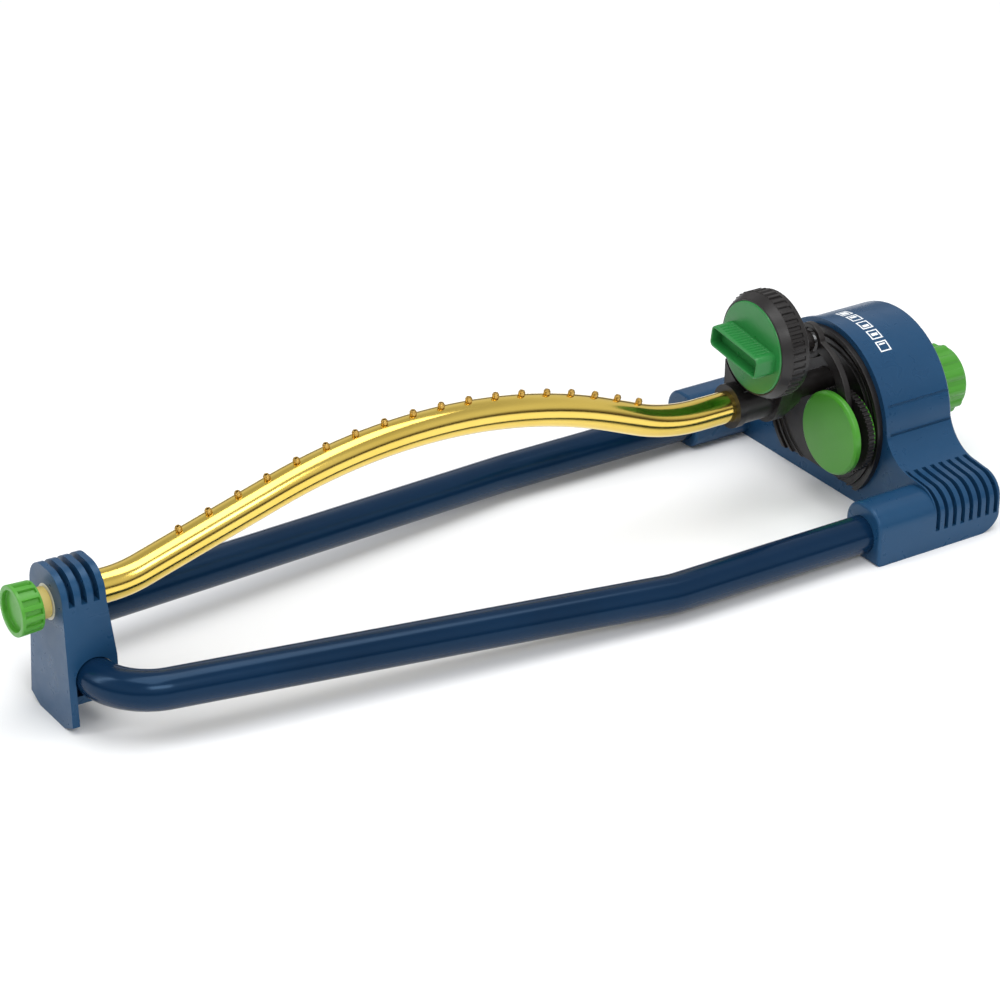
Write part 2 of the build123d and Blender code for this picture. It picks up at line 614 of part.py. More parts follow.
def motor_housing():
    body = along_x(housing_face(0), HOUSING_FRONT, HOUSING_REAR)
    rear = body.faces().sort_by(Axis.X)[-1].outer_wire().edges().filter_by(lambda edge: edge.center().Z > 0.1)
    body = fillet(rear, REAR_ROUND)
    body += along_x(housing_face(RIM_RISE), HOUSING_FRONT, HOUSING_FRONT + WING_RIM)
    collar = Pos(0, LEG_Y, 0) * socket()
    body += collar + mirror(collar, about=Plane.XZ)
    for side in (-1, 1):
        body -= rod(FRAME_RADIUS + 0.1, SOCKET_FRONT - 1, FRAME_END_X + 0.5, side * LEG_Y, LEG_Z)
        for slot in louvres(side):
            body -= slot
        body -= block(POCKET_FRONT, POCKET_BACK, side * LEG_Y - POCKET_HALF, side * LEG_Y + POCKET_HALF,
                      -1, POCKET_TOP)
        for x in BASE_SCREW_X:
            hole = Cylinder(BASE_SCREW_RADIUS, 2 * (BASE_THICK + BASE_SCREW_LENGTH))
            body -= Pos(x, side * BASE_SCREW_Y, 0) * hole
    inside = rod(COVER_SEAT_RADIUS, HOUSING_FRONT - 1, COVER_BACK + 0.05, 0, DRUM_Z)
    inside += rod(DRUM_BORE, HOUSING_FRONT - 1, HOUSING_REAR - HOUSING_WALL, 0, DRUM_Z)
    body -= inside & above_floor(-0.1)
    body -= block(BASE_FRONT, BASE_BACK, -BASE_HALF, BASE_HALF, -1, BASE_THICK)
    heel_x = HOUSING_REAR - HEEL_RADIUS
    heel = block(heel_x, HOUSING_REAR + 1, -WING_Y - 1, WING_Y + 1, -1, HEEL_RADIUS)
    turn = Pos(heel_x, 0, HEEL_RADIUS) * Rot(90, 0, 0)
    body -= heel - turn * Cylinder(HEEL_RADIUS, 2 * WING_Y + 4)
    for angle in DRUM_GROOVES:
        y, z = polar(DRUM_RADIUS, angle, 0, DRUM_Z)
        for side in (-1, 1):
            body -= rod(GROOVE_RADIUS, HOUSING_FRONT + WING_RIM, HOUSING_REAR + 1, side * y, z)
    body += rod(INLET_BOSS_RADIUS, HOUSING_REAR, INLET_BOSS_END, 0, INLET_Z)
    body -= rod(STEM_RADIUS, HOUSING_REAR - HOUSING_WALL - 1, INLET_BOSS_END + 1, 0, INLET_Z)
    for y, z in cover_screw_points():
        body += rod(COVER_POST_RADIUS, COVER_SCREW_SEAT - 5, HOUSING_REAR - HOUSING_WALL, y, z)
        body -= rod(COVER_SCREW_RADIUS + 0.1, COVER_SCREW_SEAT - 6, COVER_SCREW_SEAT + 1, y, z)
        body -= rod(COVER_SCREW_HEAD + 0.3, COVER_SCREW_SEAT, HOUSING_REAR + 1, y, z)
    return body


def base_plate():
    """Closing plate let into the underside."""
    plate = block(BASE_FRONT + 0.1, BASE_BACK - 0.1, 0.1 - BASE_HALF, BASE_HALF - 0.1, 0, BASE_THICK)
    for side in (-1, 1):
        for x in BASE_SCREW_X:
            plate -= Pos(x, side * BASE_SCREW_Y, 0) * Cylinder(BASE_SCREW_RADIUS + 0.2, 10)
            plate -= Pos(x, side * BASE_SCREW_Y, 0) * Cylinder(BASE_HEAD_RADIUS + 0.2, 2.4)
    return plate


def base_screws():
    screws = []
    for side in (-1, 1):
        for x in BASE_SCREW_X:
            screws.append(screw(x, side * BASE_SCREW_Y, 1.2, BASE_HEAD_RADIUS, BASE_HEAD_HEIGHT,
                                BASE_SCREW_RADIUS, BASE_SCREW_LENGTH, (0, 0, 1)))
    return Compound(children=screws)


# ---- where the gear shafts run -----------------------------------------------------------
IDLER_DISTANCE = MODULE * (OUTPUT_TEETH + PINION_TEETH) / 2
TURBINE_DISTANCE = MODULE * (IDLER_TEETH + PINION_TEETH) / 2
IDLER_Y, IDLER_Z = polar(IDLER_DISTANCE, IDLER_ANGLE, CRANK_Y, CRANK_Z)
TURBINE_Y, TURBINE_Z = polar(TURBINE_DISTANCE, TURBINE_ANGLE, IDLER_Y, IDLER_Z)
AXLE_START = COVER_FRONT + 1.5


# ---- front cover -------------------------------------------------------------------------
COVER_SCREW_ANGLES = (40.0, 140.0)
COVER_SCREW_CIRCLE = 33.0
COVER_LOW_SCREW = (12.5, 12.8)
COVER_SCREW_SEAT = 207.0
COVER_SCREW_HEAD = 2.8
COVER_HEAD_HEIGHT = 1.8
COVER_SCREW_LENGTH = 13.0
COVER_SCREW_RADIUS = 1.4
COVER_POST_RADIUS = 5.4


def cover_screw_points():
    high = [polar(COVER_SCREW_CIRCLE, angle, 0, DRUM_Z) for angle in COVER_SCREW_ANGLES]
    return high + [COVER_LOW_SCREW]


def front_cover():
    """Disc that closes the drum: raised rings, bearings for neck and crank shaft, screw posts."""
    body = rod(COVER_RADIUS, COVER_FRONT, COVER_BACK, 0, DRUM_Z)
    body += rod(BEZEL_RADIUS, COVER_FRONT, HOUSING_FRONT, 0, DRUM_Z)
    for inner, outer, height in COVER_RINGS:
        body += tube(outer, inner, COVER_FRONT - height, COVER_FRONT + 0.5, 0, DRUM_Z)
    body += rod(NECK_BOSS_RADIUS, COVER_BACK - 1, BOSS_BACK)
    body += rod(SHAFT_BOSS_RADIUS, COVER_BACK - 1, BOSS_BACK, CRANK_Y, CRANK_Z)
    body -= rod(NECK_RADIUS + RUNNING_GAP, COVER_FRONT - 3, BOSS_BACK + 1)
    body -= rod(CRANK_SHAFT_RADIUS + RUNNING_GAP, COVER_FRONT - 1, BOSS_BACK + 1, CRANK_Y, CRANK_Z)
    for y, z in cover_screw_points():
        body += rod(COVER_POST_RADIUS - 1.6, COVER_BACK - 1, COVER_SCREW_SEAT - 5, y, z)
        body -= rod(COVER_SCREW_RADIUS, COVER_BACK + 1, COVER_SCREW_SEAT - 4, y, z)
    body -= rod(AXLE_RADIUS, AXLE_START, COVER_BACK + 1, IDLER_Y, IDLER_Z)
    body -= rod(AXLE_RADIUS + RUNNING_GAP, AXLE_START - 0.2, COVER_BACK + 1, TURBINE_Y, TURBINE_Z)
    return body & above_floor(0)


def cover_screws():
    """Screws from the rear, sunk deep in the housing's posts."""
    screws = []
    for y, z in cover_screw_points():
        screws.append(screw(COVER_SCREW_SEAT, y, z, COVER_SCREW_HEAD, COVER_HEAD_HEIGHT,
                            COVER_SCREW_RADIUS, COVER_SCREW_LENGTH, (-1, 0, 0)))
    return Compound(children=screws)


def journal_seal():
    """Ring round the neck where it enters the wet side of the motor."""
    return tube(NECK_BOSS_RADIUS - 0.2, NECK_RADIUS + RUNNING_GAP, BOSS_BACK, BOSS_BACK + 1.6)


# ---- gear train and turbine --------------------------------------------------------------
IDLER_PLANE = GEAR_X + TRAIN_STEP
TURBINE_FRONT = GEAR_PLATE_X + GEAR_PLATE_THICK + 2.0
TURBINE_BACK = HOUSING_REAR - HOUSING_WALL - 2.0


def mesh_turn(teeth, driver_teeth, driver_turn, angle):
    """Turn of a gear about its own axis that puts a gap where the driver's tooth points."""
    driver_phase = (angle - driver_turn) * driver_teeth / 360.0
    half_pitch = 180.0 / teeth
    return angle + 180.0 + half_pitch + (driver_phase % 1.0) * 360.0 / teeth


OUTPUT_TURN = 0.0
IDLER_PINION_TURN = mesh_turn(PINION_TEETH, OUTPUT_TEETH, OUTPUT_TURN, IDLER_ANGLE)
TURBINE_PINION_TURN = mesh_turn(PINION_TEETH, IDLER_TEETH, IDLER_PINION_TURN, TURBINE_ANGLE)


def placed_gear(teeth, turn, start, end, y, z):
    return Pos(0, y, z) * Rot(turn, 0, 0) * along_x(gear_face(teeth), start, end)


def output_gear():
    body = placed_gear(OUTPUT_TEETH, OUTPUT_TURN, GEAR_X, GEAR_X + GEAR_WIDTH, CRANK_Y, CRANK_Z)
    return body - rod(CRANK_SHAFT_RADIUS, GEAR_X - 1, GEAR_X + GEAR_WIDTH + 1, CRANK_Y, CRANK_Z)


def idler_gear():
    """Pinion and wheel in one moulding, free on its axle."""
    body = placed_gear(PINION_TEETH, IDLER_PINION_TURN, GEAR_X - 0.2, IDLER_PLANE, IDLER_Y, IDLER_Z)
    body += placed_gear(IDLER_TEETH, IDLER_PINION_TURN, IDLER_PLANE, IDLER_PLANE + GEAR_WIDTH,
                        IDLER_Y, IDLER_Z)
    bore = AXLE_RADIUS + RUNNING_GAP
    return body - rod(bore, GEAR_X - 2, IDLER_PLANE + GEAR_WIDTH + 1, IDLER_Y, IDLER_Z)


def idler_axle():
    return rod(AXLE_RADIUS, AXLE_START, GEAR_PLATE_X + GEAR_PLATE_THICK, IDLER_Y, IDLER_Z)


def turbine_pinion():
    start, end = IDLER_PLANE - 0.2, IDLER_PLANE + GEAR_WIDTH + 0.2
    body = placed_gear(PINION_TEETH, TURBINE_PINION_TURN, start, end, TURBINE_Y, TURBINE_Z)
    return body - rod(AXLE_RADIUS, start - 2, end + 2, TURBINE_Y, TURBINE_Z)


def turbine_shaft():
    return rod(AXLE_RADIUS, AXLE_START, TURBINE_BACK, TURBINE_Y, TURBINE_Z)


def turbine_wheel():
    """Water wheel: hub, backing disc and straight vanes."""
    body = rod(TURBINE_HUB, TURBINE_FRONT, TURBINE_BACK, 0, 0)
    body += rod(TURBINE_RADIUS, TURBINE_FRONT, TURBINE_FRONT + 1.5, 0, 0)
    root = TURBINE_HUB - 1.0
    middle = (root + TURBINE_RADIUS) / 2
    width = TURBINE_BACK - TURBINE_FRONT
    for i in range(TURBINE_VANES):
        vane = Pos(TURBINE_FRONT + width / 2, 0, middle) * Box(width, 1.6, TURBINE_RADIUS - root)
        body += Rot(360.0 * i / TURBINE_VANES, 0, 0) * vane
    body -= rod(AXLE_RADIUS, TURBINE_FRONT - 1, TURBINE_BACK + 1, 0, 0)
    return Pos(0, TURBINE_Y, TURBINE_Z) * body


def gear_plate():
    """Inner bearing plate between the gears and the turbine chamber."""
    end = GEAR_PLATE_X + GEAR_PLATE_THICK
    body = rod(GEAR_PLATE_RADIUS, GEAR_PLATE_X, end, 0, DRUM_Z)
    gap = RUNNING_GAP
    for y, z, radius in ((CRANK_Y, CRANK_Z, CRANK_SHAFT_RADIUS + gap), (IDLER_Y, IDLER_Z, AXLE_RADIUS),
                         (TURBINE_Y, TURBINE_Z, AXLE_RADIUS + gap)):
        body -= rod(radius, GEAR_PLATE_X - 1, end + 1, y, z)
    body -= rod(WATER_WAY_RADIUS, GEAR_PLATE_X - 1, end + 1, *WATER_WAY)
    for y, z in cover_screw_points():
        body -= rod(COVER_POST_RADIUS + 0.2, GEAR_PLATE_X - 1, end + 1, y, z)
    return body & above_floor(0)


# ---- hose inlet --------------------------------------------------------------------------
def inlet_stem():
    """Spigot in the housing's rear boss, with the flange that holds the swivel nut."""
    flange_start = STEM_END - FLANGE_THICK
    body = rod(STEM_RADIUS, HOUSING_REAR - HOUSING_WALL, STEM_END, 0, INLET_Z)
    body += rod(FLANGE_RADIUS, flange_start, STEM_END, 0, INLET_Z)
    return body - rod(STEM_BORE, HOUSING_REAR - 10, STEM_END + 1, 0, INLET_Z)


def inlet_filter():
    """Domed mesh that keeps grit out."""
    mesh = Cylinder(STEM_BORE - 0.05, 1.2)
    for i in range(-3, 4):
        for j in range(-3, 4):
            if math.hypot(i, j) * FILTER_PITCH < STEM_BORE - 1.4:
                mesh -= Pos(i * FILTER_PITCH, j * FILTER_PITCH, 0) * Box(FILTER_HOLE, FILTER_HOLE, 3)
    return Pos(STEM_END - 1.2, 0, INLET_Z) * Rot(0, 90, 0) * mesh


def hose_washer():
    start = STEM_END + 0.1
    return tube(THREAD_RADIUS - 0.1, WASHER_BORE, start, start + WASHER_THICK, 0, INLET_Z)


THREAD_START = STEM_END + WASHER_THICK + 0.1


def hose_nut():
    """Swivel nut with finger lobes and the female hose thread."""
    body = rod(NUT_RADIUS - 1.6, NUT_FRONT, NUT_REAR, 0, 0)
    for i in range(NUT_LOBES):
        y, z = polar(NUT_RADIUS - LOBE_RADIUS, 360.0 * i / NUT_LOBES)
        body += rod(LOBE_RADIUS, NUT_FRONT + 2, NUT_REAR - 2, y, z)
    body -= rod(STEM_RADIUS + 0.08, NUT_FRONT - 1, NUT_REAR + 1, 0, 0)
    body -= rod(NUT_RELIEF, NUT_FRONT + NUT_FRONT_WALL, THREAD_START, 0, 0)
    body -= rod(THREAD_RADIUS, THREAD_START - 0.5, NUT_REAR + 1, 0, 0)
    return Pos(0, 0, INLET_Z) * body


PIECES = [frame_tube, end_bracket, bracket_bush, bracket_clamp, clamp_screws, spray_tube, nozzles,
          tube_journal, end_cap, cap_seal, cleaning_pin, manifold, link_pin, dial_stud, pattern_dial,
          knob, crank_front_disc, crank_toothed_disc, crank_back_disc, crank_pin, crank_shaft, link_arm,
          motor_housing, base_plate, base_screws, front_cover, cover_screws, journal_seal, output_gear,
          idler_gear, idler_axle, turbine_pinion, turbine_shaft, turbine_wheel, gear_plate, inlet_stem,
          inlet_filter, hose_washer, hose_nut]

os.makedirs("parts", exist_ok=True)
for piece in PIECES:
    export_step(piece(), f"parts/{piece.__name__}.step")
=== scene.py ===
import json
import math

import bmesh
import bpy
import numpy as np
from mathutils import Matrix, Vector


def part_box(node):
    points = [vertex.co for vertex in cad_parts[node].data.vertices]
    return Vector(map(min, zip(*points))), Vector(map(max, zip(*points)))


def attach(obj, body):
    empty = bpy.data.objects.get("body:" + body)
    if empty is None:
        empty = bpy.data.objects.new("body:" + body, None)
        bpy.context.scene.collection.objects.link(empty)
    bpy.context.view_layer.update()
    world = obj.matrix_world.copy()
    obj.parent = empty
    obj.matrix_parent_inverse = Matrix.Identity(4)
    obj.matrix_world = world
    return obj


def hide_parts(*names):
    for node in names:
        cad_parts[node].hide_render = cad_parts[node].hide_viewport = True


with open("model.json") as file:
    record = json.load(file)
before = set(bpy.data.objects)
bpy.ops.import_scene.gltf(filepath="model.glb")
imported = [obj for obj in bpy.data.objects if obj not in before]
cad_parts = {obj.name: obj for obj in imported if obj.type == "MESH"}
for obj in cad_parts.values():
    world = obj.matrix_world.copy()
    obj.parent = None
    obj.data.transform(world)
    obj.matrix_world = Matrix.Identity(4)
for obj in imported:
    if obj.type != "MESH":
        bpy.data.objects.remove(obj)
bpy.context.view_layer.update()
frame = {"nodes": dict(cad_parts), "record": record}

mm = 0.001

# ---- Camera ---------------------------------------------------------------------------------
# A long lens about 1.6 m away, above the bracket end and looking down along the sprinkler.
CAMERA_PLACE = Vector((-0.80911, -1.18684, 0.77985))
CAMERA_HEADING = math.radians(56.06)
CAMERA_DIP = math.radians(27.23)
CAMERA_ROLL = math.radians(0.86)
LENS_MM = 121.2
SENSOR_MM = 36.0
SIGHT_END = 50.0

forward = Vector((math.cos(CAMERA_HEADING) * math.cos(CAMERA_DIP),
                  math.sin(CAMERA_HEADING) * math.cos(CAMERA_DIP), -math.sin(CAMERA_DIP)))
level = Vector((math.sin(CAMERA_HEADING), -math.cos(CAMERA_HEADING), 0))
upward = level.cross(forward)
right = level * math.cos(CAMERA_ROLL) + upward * math.sin(CAMERA_ROLL)
top = upward * math.cos(CAMERA_ROLL) - level * math.sin(CAMERA_ROLL)
camera = bpy.data.objects.new("camera", bpy.data.cameras.new("camera"))
camera.data.lens = LENS_MM
camera.data.sensor_width = SENSOR_MM
camera.data.clip_end = SIGHT_END
facing = Matrix((right, top, -forward)).transposed().to_4x4()
camera.matrix_world = Matrix.Translation(CAMERA_PLACE) @ facing
bpy.context.scene.collection.objects.link(camera)
bpy.context.scene.camera = camera
bpy.context.scene.view_settings.view_transform = "Standard"

# ---- Studio ---------------------------------------------------------------------------------
# A white floor under a big soft overhead lamp, with a key lamp in front and a long strip beyond
# the bracket end. A brown-grey band low in the sky shows in the gold and the enamel as dark lines.
FLOOR_HALF = 12.0
# Each lamp is a name, a place, a size and watts. The sky's ranges are heights from 0 to 1.
LAMPS = (("overhead", (0.1, -0.2, 1.9), (1.7, 1.1), 17.0),
         ("key", (-0.3, -1.7, 1.5), (1.1, 0.6), 12.0),
         ("strip", (-1.5, 0.3, 1.2), (0.25, 1.4), 6.0))
LAMP_AIM = Vector((0, 0, 0.04))
SKY_BAND = (0.08, 0.36)
SKY_CROWN = (0.5, 0.85)
SKY_STRENGTH = 0.8


def linear(code):
    """An sRGB hex code as linear red, green, blue and alpha."""
    values = [int(code[i:i + 2], 16) / 255 for i in (0, 2, 4)]
    return [v / 12.92 if v <= 0.04045 else ((v + 0.055) / 1.055) ** 2.4 for v in values] + [1.0]


def add(tree, kind, inputs=None, **settings):
    """Adds a node with its settings; an input is a number, a colour, or a socket to link from."""
    node = tree.nodes.new("ShaderNode" + kind)
    for name, value in settings.items():
        setattr(node, name, value)
    for name, value in (inputs or {}).items():
        if isinstance(value, bpy.types.NodeSocket):
            tree.links.new(value, node.inputs[name])
        else:
            node.inputs[name].default_value = value
    return node


def blend(tree, share, low, high):
    """The colour that goes from low at share 0 to high at share 1."""
    return add(tree, "Mix", {"Factor": share, 6: low, 7: high}, data_type="RGBA").outputs[2]


def material(name, **values):
    """A material with one Principled shader, its inputs given by name with _ for a space."""
    made = bpy.data.materials.new(name)
    made.use_nodes = True
    tree = made.node_tree
    tree.nodes.clear()
    inputs = {key.replace("_", " "): value for key, value in values.items()}
    shader = add(tree, "BsdfPrincipled", inputs)
    add(tree, "OutputMaterial", {"Surface": shader.outputs[0]})
    return made, tree, shader


floor_mesh = bpy.data.meshes.new("floor")
floor_mesh.from_pydata([(-FLOOR_HALF, -FLOOR_HALF, 0), (FLOOR_HALF, -FLOOR_HALF, 0),
                        (FLOOR_HALF, FLOOR_HALF, 0), (-FLOOR_HALF, FLOOR_HALF, 0)], [], [(0, 1, 2, 3)])
floor_mesh.materials.append(material("matt_white_floor", Base_Color=linear("F3F4F5"), Roughness=0.9,
                                     Specular_IOR_Level=0.1)[0])
floor = bpy.data.objects.new("floor", floor_mesh)
bpy.context.scene.collection.objects.link(floor)

world = bpy.data.worlds.new("studio")
bpy.context.scene.world = world
world.use_nodes = True
sky = world.node_tree
sky.nodes.clear()
height = add(sky, "SeparateXYZ", {0: add(sky, "TexCoord").outputs["Generated"]})
lift = add(sky, "MapRange", {"Value": height.outputs["Z"], "From Min": SKY_BAND[0],
                             "From Max": SKY_BAND[1]}, interpolation_type="SMOOTHSTEP")
shade = blend(sky, lift.outputs[0], linear("4A4540"), linear("FFFFFF"))
crown = add(sky, "MapRange", {"Value": height.outputs["Z"], "From Min": SKY_CROWN[0],
                              "From Max": SKY_CROWN[1]}, interpolation_type="SMOOTHSTEP")
rays = add(sky, "LightPath")
mirrored = blend(sky, lift.outputs[0], linear("3A332C"), linear("F4F4F4"))
banded = blend(sky, crown.outputs[0], mirrored, linear("C8C8C8"))
lit = blend(sky, rays.outputs["Is Glossy Ray"], shade, banded)
pale = blend(sky, rays.outputs["Is Camera Ray"], lit, linear("FDFDFD"))
glow = add(sky, "Background", {"Color": pale, "Strength": SKY_STRENGTH})
add(sky, "OutputWorld", {"Surface": glow.outputs[0]})

for name, place, size, power in LAMPS:
    lamp = bpy.data.lights.new(name, "AREA")
    lamp.shape = "RECTANGLE"
    lamp.size, lamp.size_y = size
    lamp.energy = power
    light = bpy.data.objects.new(name, lamp)
    facing = (LAMP_AIM - Vector(place)).to_track_quat("-Z", "Y").to_matrix().to_4x4()
    light.matrix_world = Matrix.Translation(place) @ facing
    bpy.context.scene.collection.objects.link(light)

# ---- Frame tube -----------------------------------------------------------------------------
# One length of 19 mm steel tube bent into a U and stoved in navy enamel, with its open ends
# pushed into the motor's sockets.
FRAME_RADIUS = 9.5 * mm
FRAME_BORE = 8.3 * mm
FRAME_CORNER_Y = 39.6 * mm
FRAME_KNEE_X = 39.5 * mm
FRAME_BENDS = (70 * mm, 27 * mm, 27 * mm, 70 * mm)
OPEN_DEPTH = 8 * mm
ARC_STEP = math.radians(1.5)
ENAMEL_CLOUD, ENAMEL_PEEL, ENAMEL_DUST = 45 * mm, 4 * mm, 14 * mm


def bend(corners, radii):
    """Points and headings along straight runs joined by tangent arcs, one radius per corner: a
    point on an arc is start + radius * (sin a * heading + (1 - cos a) * side)."""
    corners = np.array(corners, float)
    places, headings = [corners[:1]], []
    for before, corner, after, radius in zip(corners, corners[1:], corners[2:], radii):
        arrive = (corner - before) / np.linalg.norm(corner - before)
        leave = (after - corner) / np.linalg.norm(after - corner)
        turn = math.acos(arrive @ leave)
        side = (leave - arrive * (arrive @ leave)) / math.sin(turn)
        angle = np.linspace(0, turn, int(turn / ARC_STEP) + 2)[:, None]
        start = corner - arrive * radius * math.tan(turn / 2)
        if not headings:
            headings.append(arrive[None])
        places.append(start + radius * (np.sin(angle) * arrive + (1 - np.cos(angle)) * side))
        headings.append(np.cos(angle) * arrive + np.sin(angle) * side)
    return np.vstack(places + [corners[-1:]]), np.vstack(headings + [leave[None]])


def carry(places, headings, radii, around=72):
    """Round sections along a path: place + radius * (cos a * side + sin a * up), with up the part
    of +Z square to the heading. Also gives (radius cos a, radius sin a, length) for each point."""
    up = np.array([0, 0, 1.0]) - headings * headings[:, 2:]
    up /= np.linalg.norm(up, axis=1)[:, None]
    side = np.cross(headings, up)
    angle = np.linspace(0, 2 * math.pi, around, endpoint=False)[None, :, None]
    radii = np.asarray(radii)[:, None, None]
    rings = places[:, None] + radii * (np.cos(angle) * side[:, None] + np.sin(angle) * up[:, None])
    along = np.concatenate([[0], np.cumsum(np.linalg.norm(np.diff(places, axis=0), axis=1))])
    along = np.broadcast_to(along[:, None, None], rings.shape[:2] + (1,))
    return rings, np.concatenate([radii * np.cos(angle), radii * np.sin(angle), along], axis=2)


def pipe(places, headings, outer, inner):
    """Sections of an open-ended pipe: a flat bottom OPEN_DEPTH inside, the bore, a rounded lip and
    the outer wall, then the same backwards at the far end."""
    lip = (outer - inner) / 4
    inward = np.array([OPEN_DEPTH, lip, 0, 0, lip])[:, None]
    radii = [inner, inner, inner + lip, outer - lip, outer]
    ends = len(radii)
    path = np.vstack([places[0] + headings[0] * inward, places[1:-1],
                      places[-1] - headings[-1] * inward[::-1]])
    ways = np.vstack([np.repeat(headings[:1], ends, 0), headings[1:-1],
                      np.repeat(headings[-1:], ends, 0)])
    return carry(path, ways, radii + [outer] * (len(places) - 2) + radii[::-1])


def skin(name, blocks, loop=False, smooth=35, section=None):
    """One object of closed shells, each from rings of points (ring, point, 3). The rings close on
    themselves if loop is set, and otherwise a flat face closes the first and the last."""
    faces, start = [], 0
    for rings in blocks:
        count, around = rings.shape[:2]
        step = np.arange(around)
        across = (step + 1) % around
        row = np.arange(count if loop else count - 1)[:, None] * around
        after = (row + around) % (count * around)
        quads = np.stack([row + step, row + across, after + across, after + step], -1).reshape(-1, 4)
        faces += (quads + start).tolist()
        if not loop:
            faces += [(start + step[::-1]).tolist(), (start + step + (count - 1) * around).tolist()]
        start += count * around
    mesh = bpy.data.meshes.new(name)
    mesh.from_pydata(np.vstack([rings.reshape(-1, 3) for rings in blocks]).tolist(), [], faces)
    if section is not None:
        held = mesh.attributes.new("section", "FLOAT_VECTOR", "POINT")
        held.data.foreach_set("vector", section.reshape(-1))
    tidy(mesh, smooth)
    piece = bpy.data.objects.new(name, mesh)
    bpy.context.scene.collection.objects.link(piece)
    return piece


def tidy(mesh, smooth):
    """Merges doubled points, turns faces outwards and shades smooth below an angle in degrees."""
    work = bmesh.new()
    work.from_mesh(mesh)
    bmesh.ops.remove_doubles(work, verts=work.verts, dist=1e-6)
    bmesh.ops.dissolve_degenerate(work, edges=work.edges, dist=1e-7)
    bmesh.ops.recalc_face_normals(work, faces=work.faces)
    work.to_mesh(mesh)
    work.free()
    mesh.shade_smooth()
    mesh.set_sharp_from_angle(angle=math.radians(smooth))


def install(piece, node, paint):
    """The piece wears the paint, stands for that CAD node, and takes its body and finish."""
    piece.data.materials.clear()
    piece.data.materials.append(paint)
    bodies = frame["record"]["behaviour"]["bodies"]
    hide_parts(node)
    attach(piece, next(body for body, held in bodies.items() if node in held))


# Stoved navy enamel: a clear gloss film over deep blue, its reflections rippled by orange peel
# about 4 mm across and dulled in patches by handling.
enamel, tree, shader = material("stoved_navy_enamel", IOR=1.5, Specular_Tint=linear("8FB8E0"))
place = add(tree, "TexCoord").outputs["Object"]
cloud = add(tree, "TexNoise", {"Vector": place, "Scale": 1 / ENAMEL_CLOUD, "Detail": 3.0}).outputs["Fac"]
peel = add(tree, "TexNoise", {"Vector": place, "Scale": 1 / ENAMEL_PEEL, "Detail": 1.0}).outputs["Fac"]
dust = add(tree, "TexNoise", {"Vector": place, "Scale": 1 / ENAMEL_DUST, "Detail": 6.0}).outputs["Fac"]
tree.links.new(blend(tree, cloud, linear("051A30"), linear("0A2744")), shader.inputs["Base Color"])
tree.links.new(add(tree, "MapRange", {"Value": dust, "To Min": 0.12, "To Max": 0.26}).outputs[0],
               shader.inputs["Roughness"])
tree.links.new(add(tree, "Bump", {"Height": peel, "Strength": 0.2, "Distance": 0.03 * mm}).outputs[0],
               shader.inputs["Normal"])

low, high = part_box("frame_tube")
leg_y, leg_z = high.y - FRAME_RADIUS, low.z + FRAME_RADIUS
bar_x, bar_z = low.x + FRAME_RADIUS, high.z - FRAME_RADIUS
route = [(high.x, -leg_y, leg_z), (FRAME_KNEE_X, -leg_y, leg_z), (bar_x, -FRAME_CORNER_Y, bar_z),
         (bar_x, FRAME_CORNER_Y, bar_z), (FRAME_KNEE_X, leg_y, leg_z), (high.x, leg_y, leg_z)]
rings = pipe(*bend(route, FRAME_BENDS), FRAME_RADIUS, FRAME_BORE)[0]
install(skin("enamelled_frame_tube", [rings]), "frame_tube", enamel)

# ---- End bracket ----------------------------------------------------------------------------
# A blue moulding that sits over the crossbar and holds the spray tube's bush, with three grooves
# moulded into its top; the strap below the crossbar is screwed to it.
BRACKET_EDGE = 0.55 * mm
STRAP_EDGE = 0.3 * mm
STRAP_SCREW_EDGE = 0.15 * mm
MERGE = 0.004 * mm
FLAT = math.radians(0.4)
MOULD_CLOUD, MOULD_MARKS = 50 * mm, 9 * mm


def soften(node, width, name, segments=3, limit=32):
    """A copy of a CAD node with its split points merged, flat areas cleaned, and its edges sharper
    than a limit in degrees rounded to a width."""
    mesh = frame["nodes"][node].data.copy()
    mesh.name = name
    work = bmesh.new()
    work.from_mesh(mesh)
    bmesh.ops.remove_doubles(work, verts=work.verts, dist=MERGE)
    bmesh.ops.dissolve_degenerate(work, edges=work.edges, dist=MERGE)
    bmesh.ops.dissolve_limit(work, angle_limit=FLAT, verts=work.verts, edges=work.edges)
    work.to_mesh(mesh)
    work.free()
    if mesh.has_custom_normals:
        mesh.attributes.remove(mesh.attributes["custom_normal"])
    mesh.shade_smooth()
    mesh.set_sharp_from_angle(angle=math.radians(limit))
    piece = bpy.data.objects.new(name, mesh)
    bpy.context.scene.collection.objects.link(piece)
    if width:
        edge = piece.modifiers.new("rounded_edges", "BEVEL")
        edge.width = width
        edge.segments = segments
        edge.limit_method = "ANGLE"
        edge.angle_limit = math.radians(limit)
        edge.harden_normals = True
        edge.use_clamp_overlap = True
    return piece


